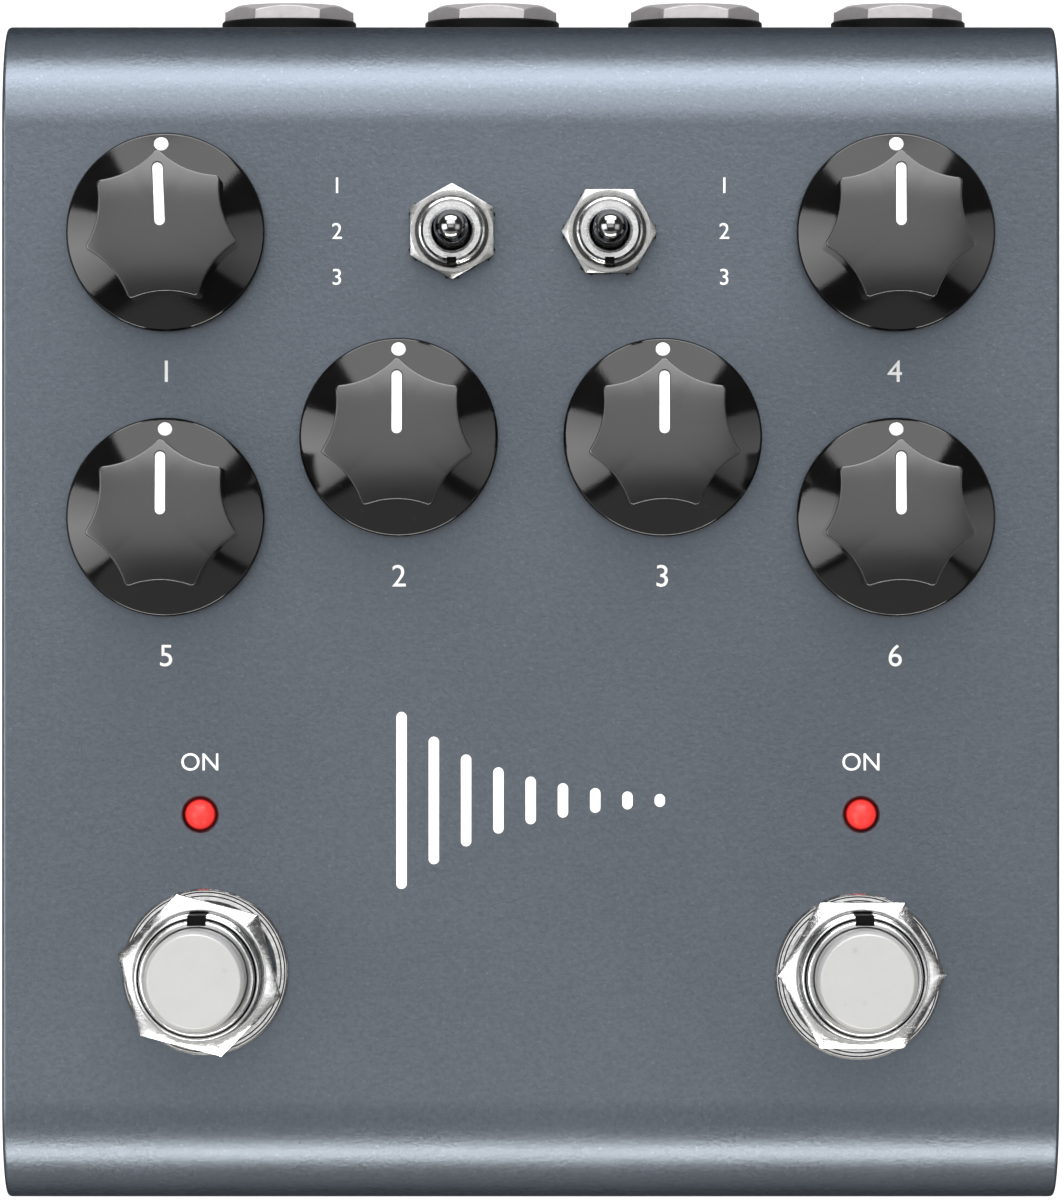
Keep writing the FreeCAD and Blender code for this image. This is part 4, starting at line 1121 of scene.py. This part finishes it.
inletForm = dict(
    across=-41.0, axis=25.3, wide=9.0, inner=39.45, wall=53.45, low=20.8, high=31.8,
    nose=4.3, mouth=55.25, bore=3.0, boreEnd=45.25, pin=1.0, pinEnd=54.25, pinSeat=43.25,
)


def makeInlet():
    form = Values(**inletForm)
    reach, nose, bore, radius = form.mouth - form.wall, form.nose, form.bore, form.pin
    rings = [(bore, 0.0), (nose, 0.0), (nose, reach - 0.2), (nose - 0.2, reach), (bore + 0.4, reach)]
    tube = lathe(rings + [(bore, reach - 0.4)], bored=True)
    body = setDown(socketBody(form, tube), (form.across, 0, 0))
    wearRide(body, "powerInlet", "blackMoulding", "jack_plastic", "power_inlet")
    rings = [(radius, 0.0)] + arcRings(0, form.pinEnd - form.pinSeat - radius, radius, 0, 84, 8)
    pin = finishOff(lathe(rings, 48))
    setDown(pin, (form.across, form.pinSeat, form.axis), onRear)
    wearRide(pin, "inletPin", "brightSteel", "contact_metal", "power_inlet_pin")


makeJacks()
makeInlet()
print("sockets are made")


# CAD nodes that keep their own mesh, inside the case
carriedOver = {
    "basePaint": ["screw_rails"], "boardMask": ["main_board", "switch_board"],
    "chipMoulding": ["signal_processor", "memory_chips", "amplifier_chips"], "leadGrey": ["ribbon_lead"],
    "canAluminium": ["filter_capacitors"], "blackMoulding": ["ribbon_headers", "lamp_spacers"],
    "contactBronze": ["jack_contacts"],
    "nickel": ["potentiometer_nuts", "potentiometer_washers", "footswitch_lock_nuts"],
    "potHousing": [part + name for part in ("potentiometer_", "shaft_") for name in knobPlaces],
}
for look, names in carriedOver.items():
    for name in names:
        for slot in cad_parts[name].material_slots:
            slot.material = finish[look]


def makeReturnSprings():  # a copy of each button's spring, merged and smoothed
    for name in footswitchPlaces:
        node = "button_spring_" + name
        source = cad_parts[node]
        piece = copyTo(source, (0, 0, 0), "returnSpring_" + name, "brightSteel", "spring_steel", node, body=None)
        mergeLoose(piece)
        smoothPiece(piece, 40.0)
        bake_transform(piece)


makeReturnSprings()
print("inner parts have their finishes")


# Plain white marks printed on the face
markForm = dict(height=44.4, thick=0.03, numberSize=3.0, wordSize=2.4, placeSize=2.2)
dialNumbers = {"rear_left": "1", "rear_right": "4", "middle_left": "2", "middle_right": "3",
               "front_left": "5", "front_right": "6", "drop": 13.4}
lampWord = {"word": "ON", "along": -15.9}
togglePositions = {"across": {"left": -18.6, "right": 18.6}, "along": {"1": 39.5, "2": 35.1, "3": 30.7}}


def printWord(name, word, x, y, size):
    selectOnly()
    bpy.ops.object.text_add(location=(0, 0, 0))
    text = bpy.context.object.data
    text.body = word
    text.size = size * mm
    text.align_x = text.align_y = "CENTER"
    text.extrude = markForm["thick"] * mm / 2
    text.resolution_u = 6
    bpy.ops.object.convert(target="MESH")
    piece = bpy.context.object
    mergeLoose(piece)
    setDown(piece, (x, y, markForm["height"] + markForm["thick"] / 2))
    wearRide(piece, name, "whiteInk")


def printMarks():
    for name, (x, y, turn) in knobPlaces.items():
        printWord("dialNumber_" + name, dialNumbers[name], x, y - dialNumbers["drop"], markForm["numberSize"])
    for name, (x, y) in lampPlaces.items():
        printWord("lampWord_" + name, lampWord["word"], x, lampWord["along"], markForm["wordSize"])
    for side, across in togglePositions["across"].items():
        for number, along in togglePositions["along"].items():
            printWord("togglePosition_%s_%s" % (side, number), number, across, along, markForm["placeSize"])


echoForm = dict(bars=9, pitch=3.1, width=1.0, tall=17.0, fade=0.72, middle=(0.0, -19.5))


def printEcho():  # a row of bars that die away to the right
    form = Values(**echoForm)
    bars = []
    start = form.middle[0] - form.pitch * (form.bars - 1) / 2
    for number in range(form.bars):
        half = form.width / 2
        reach = max(form.tall * form.fade ** number / 2 - half, 0.02)
        bar = makeStadium(half, -reach, reach, 0.0, markForm["thick"], 1)
        bars.append(setDown(bar, (start + form.pitch * number, form.middle[1], markForm["height"])))
    wearRide(join(bars), "echoBars", "whiteInk")


printMarks()
printEcho()
print("marks are printed")
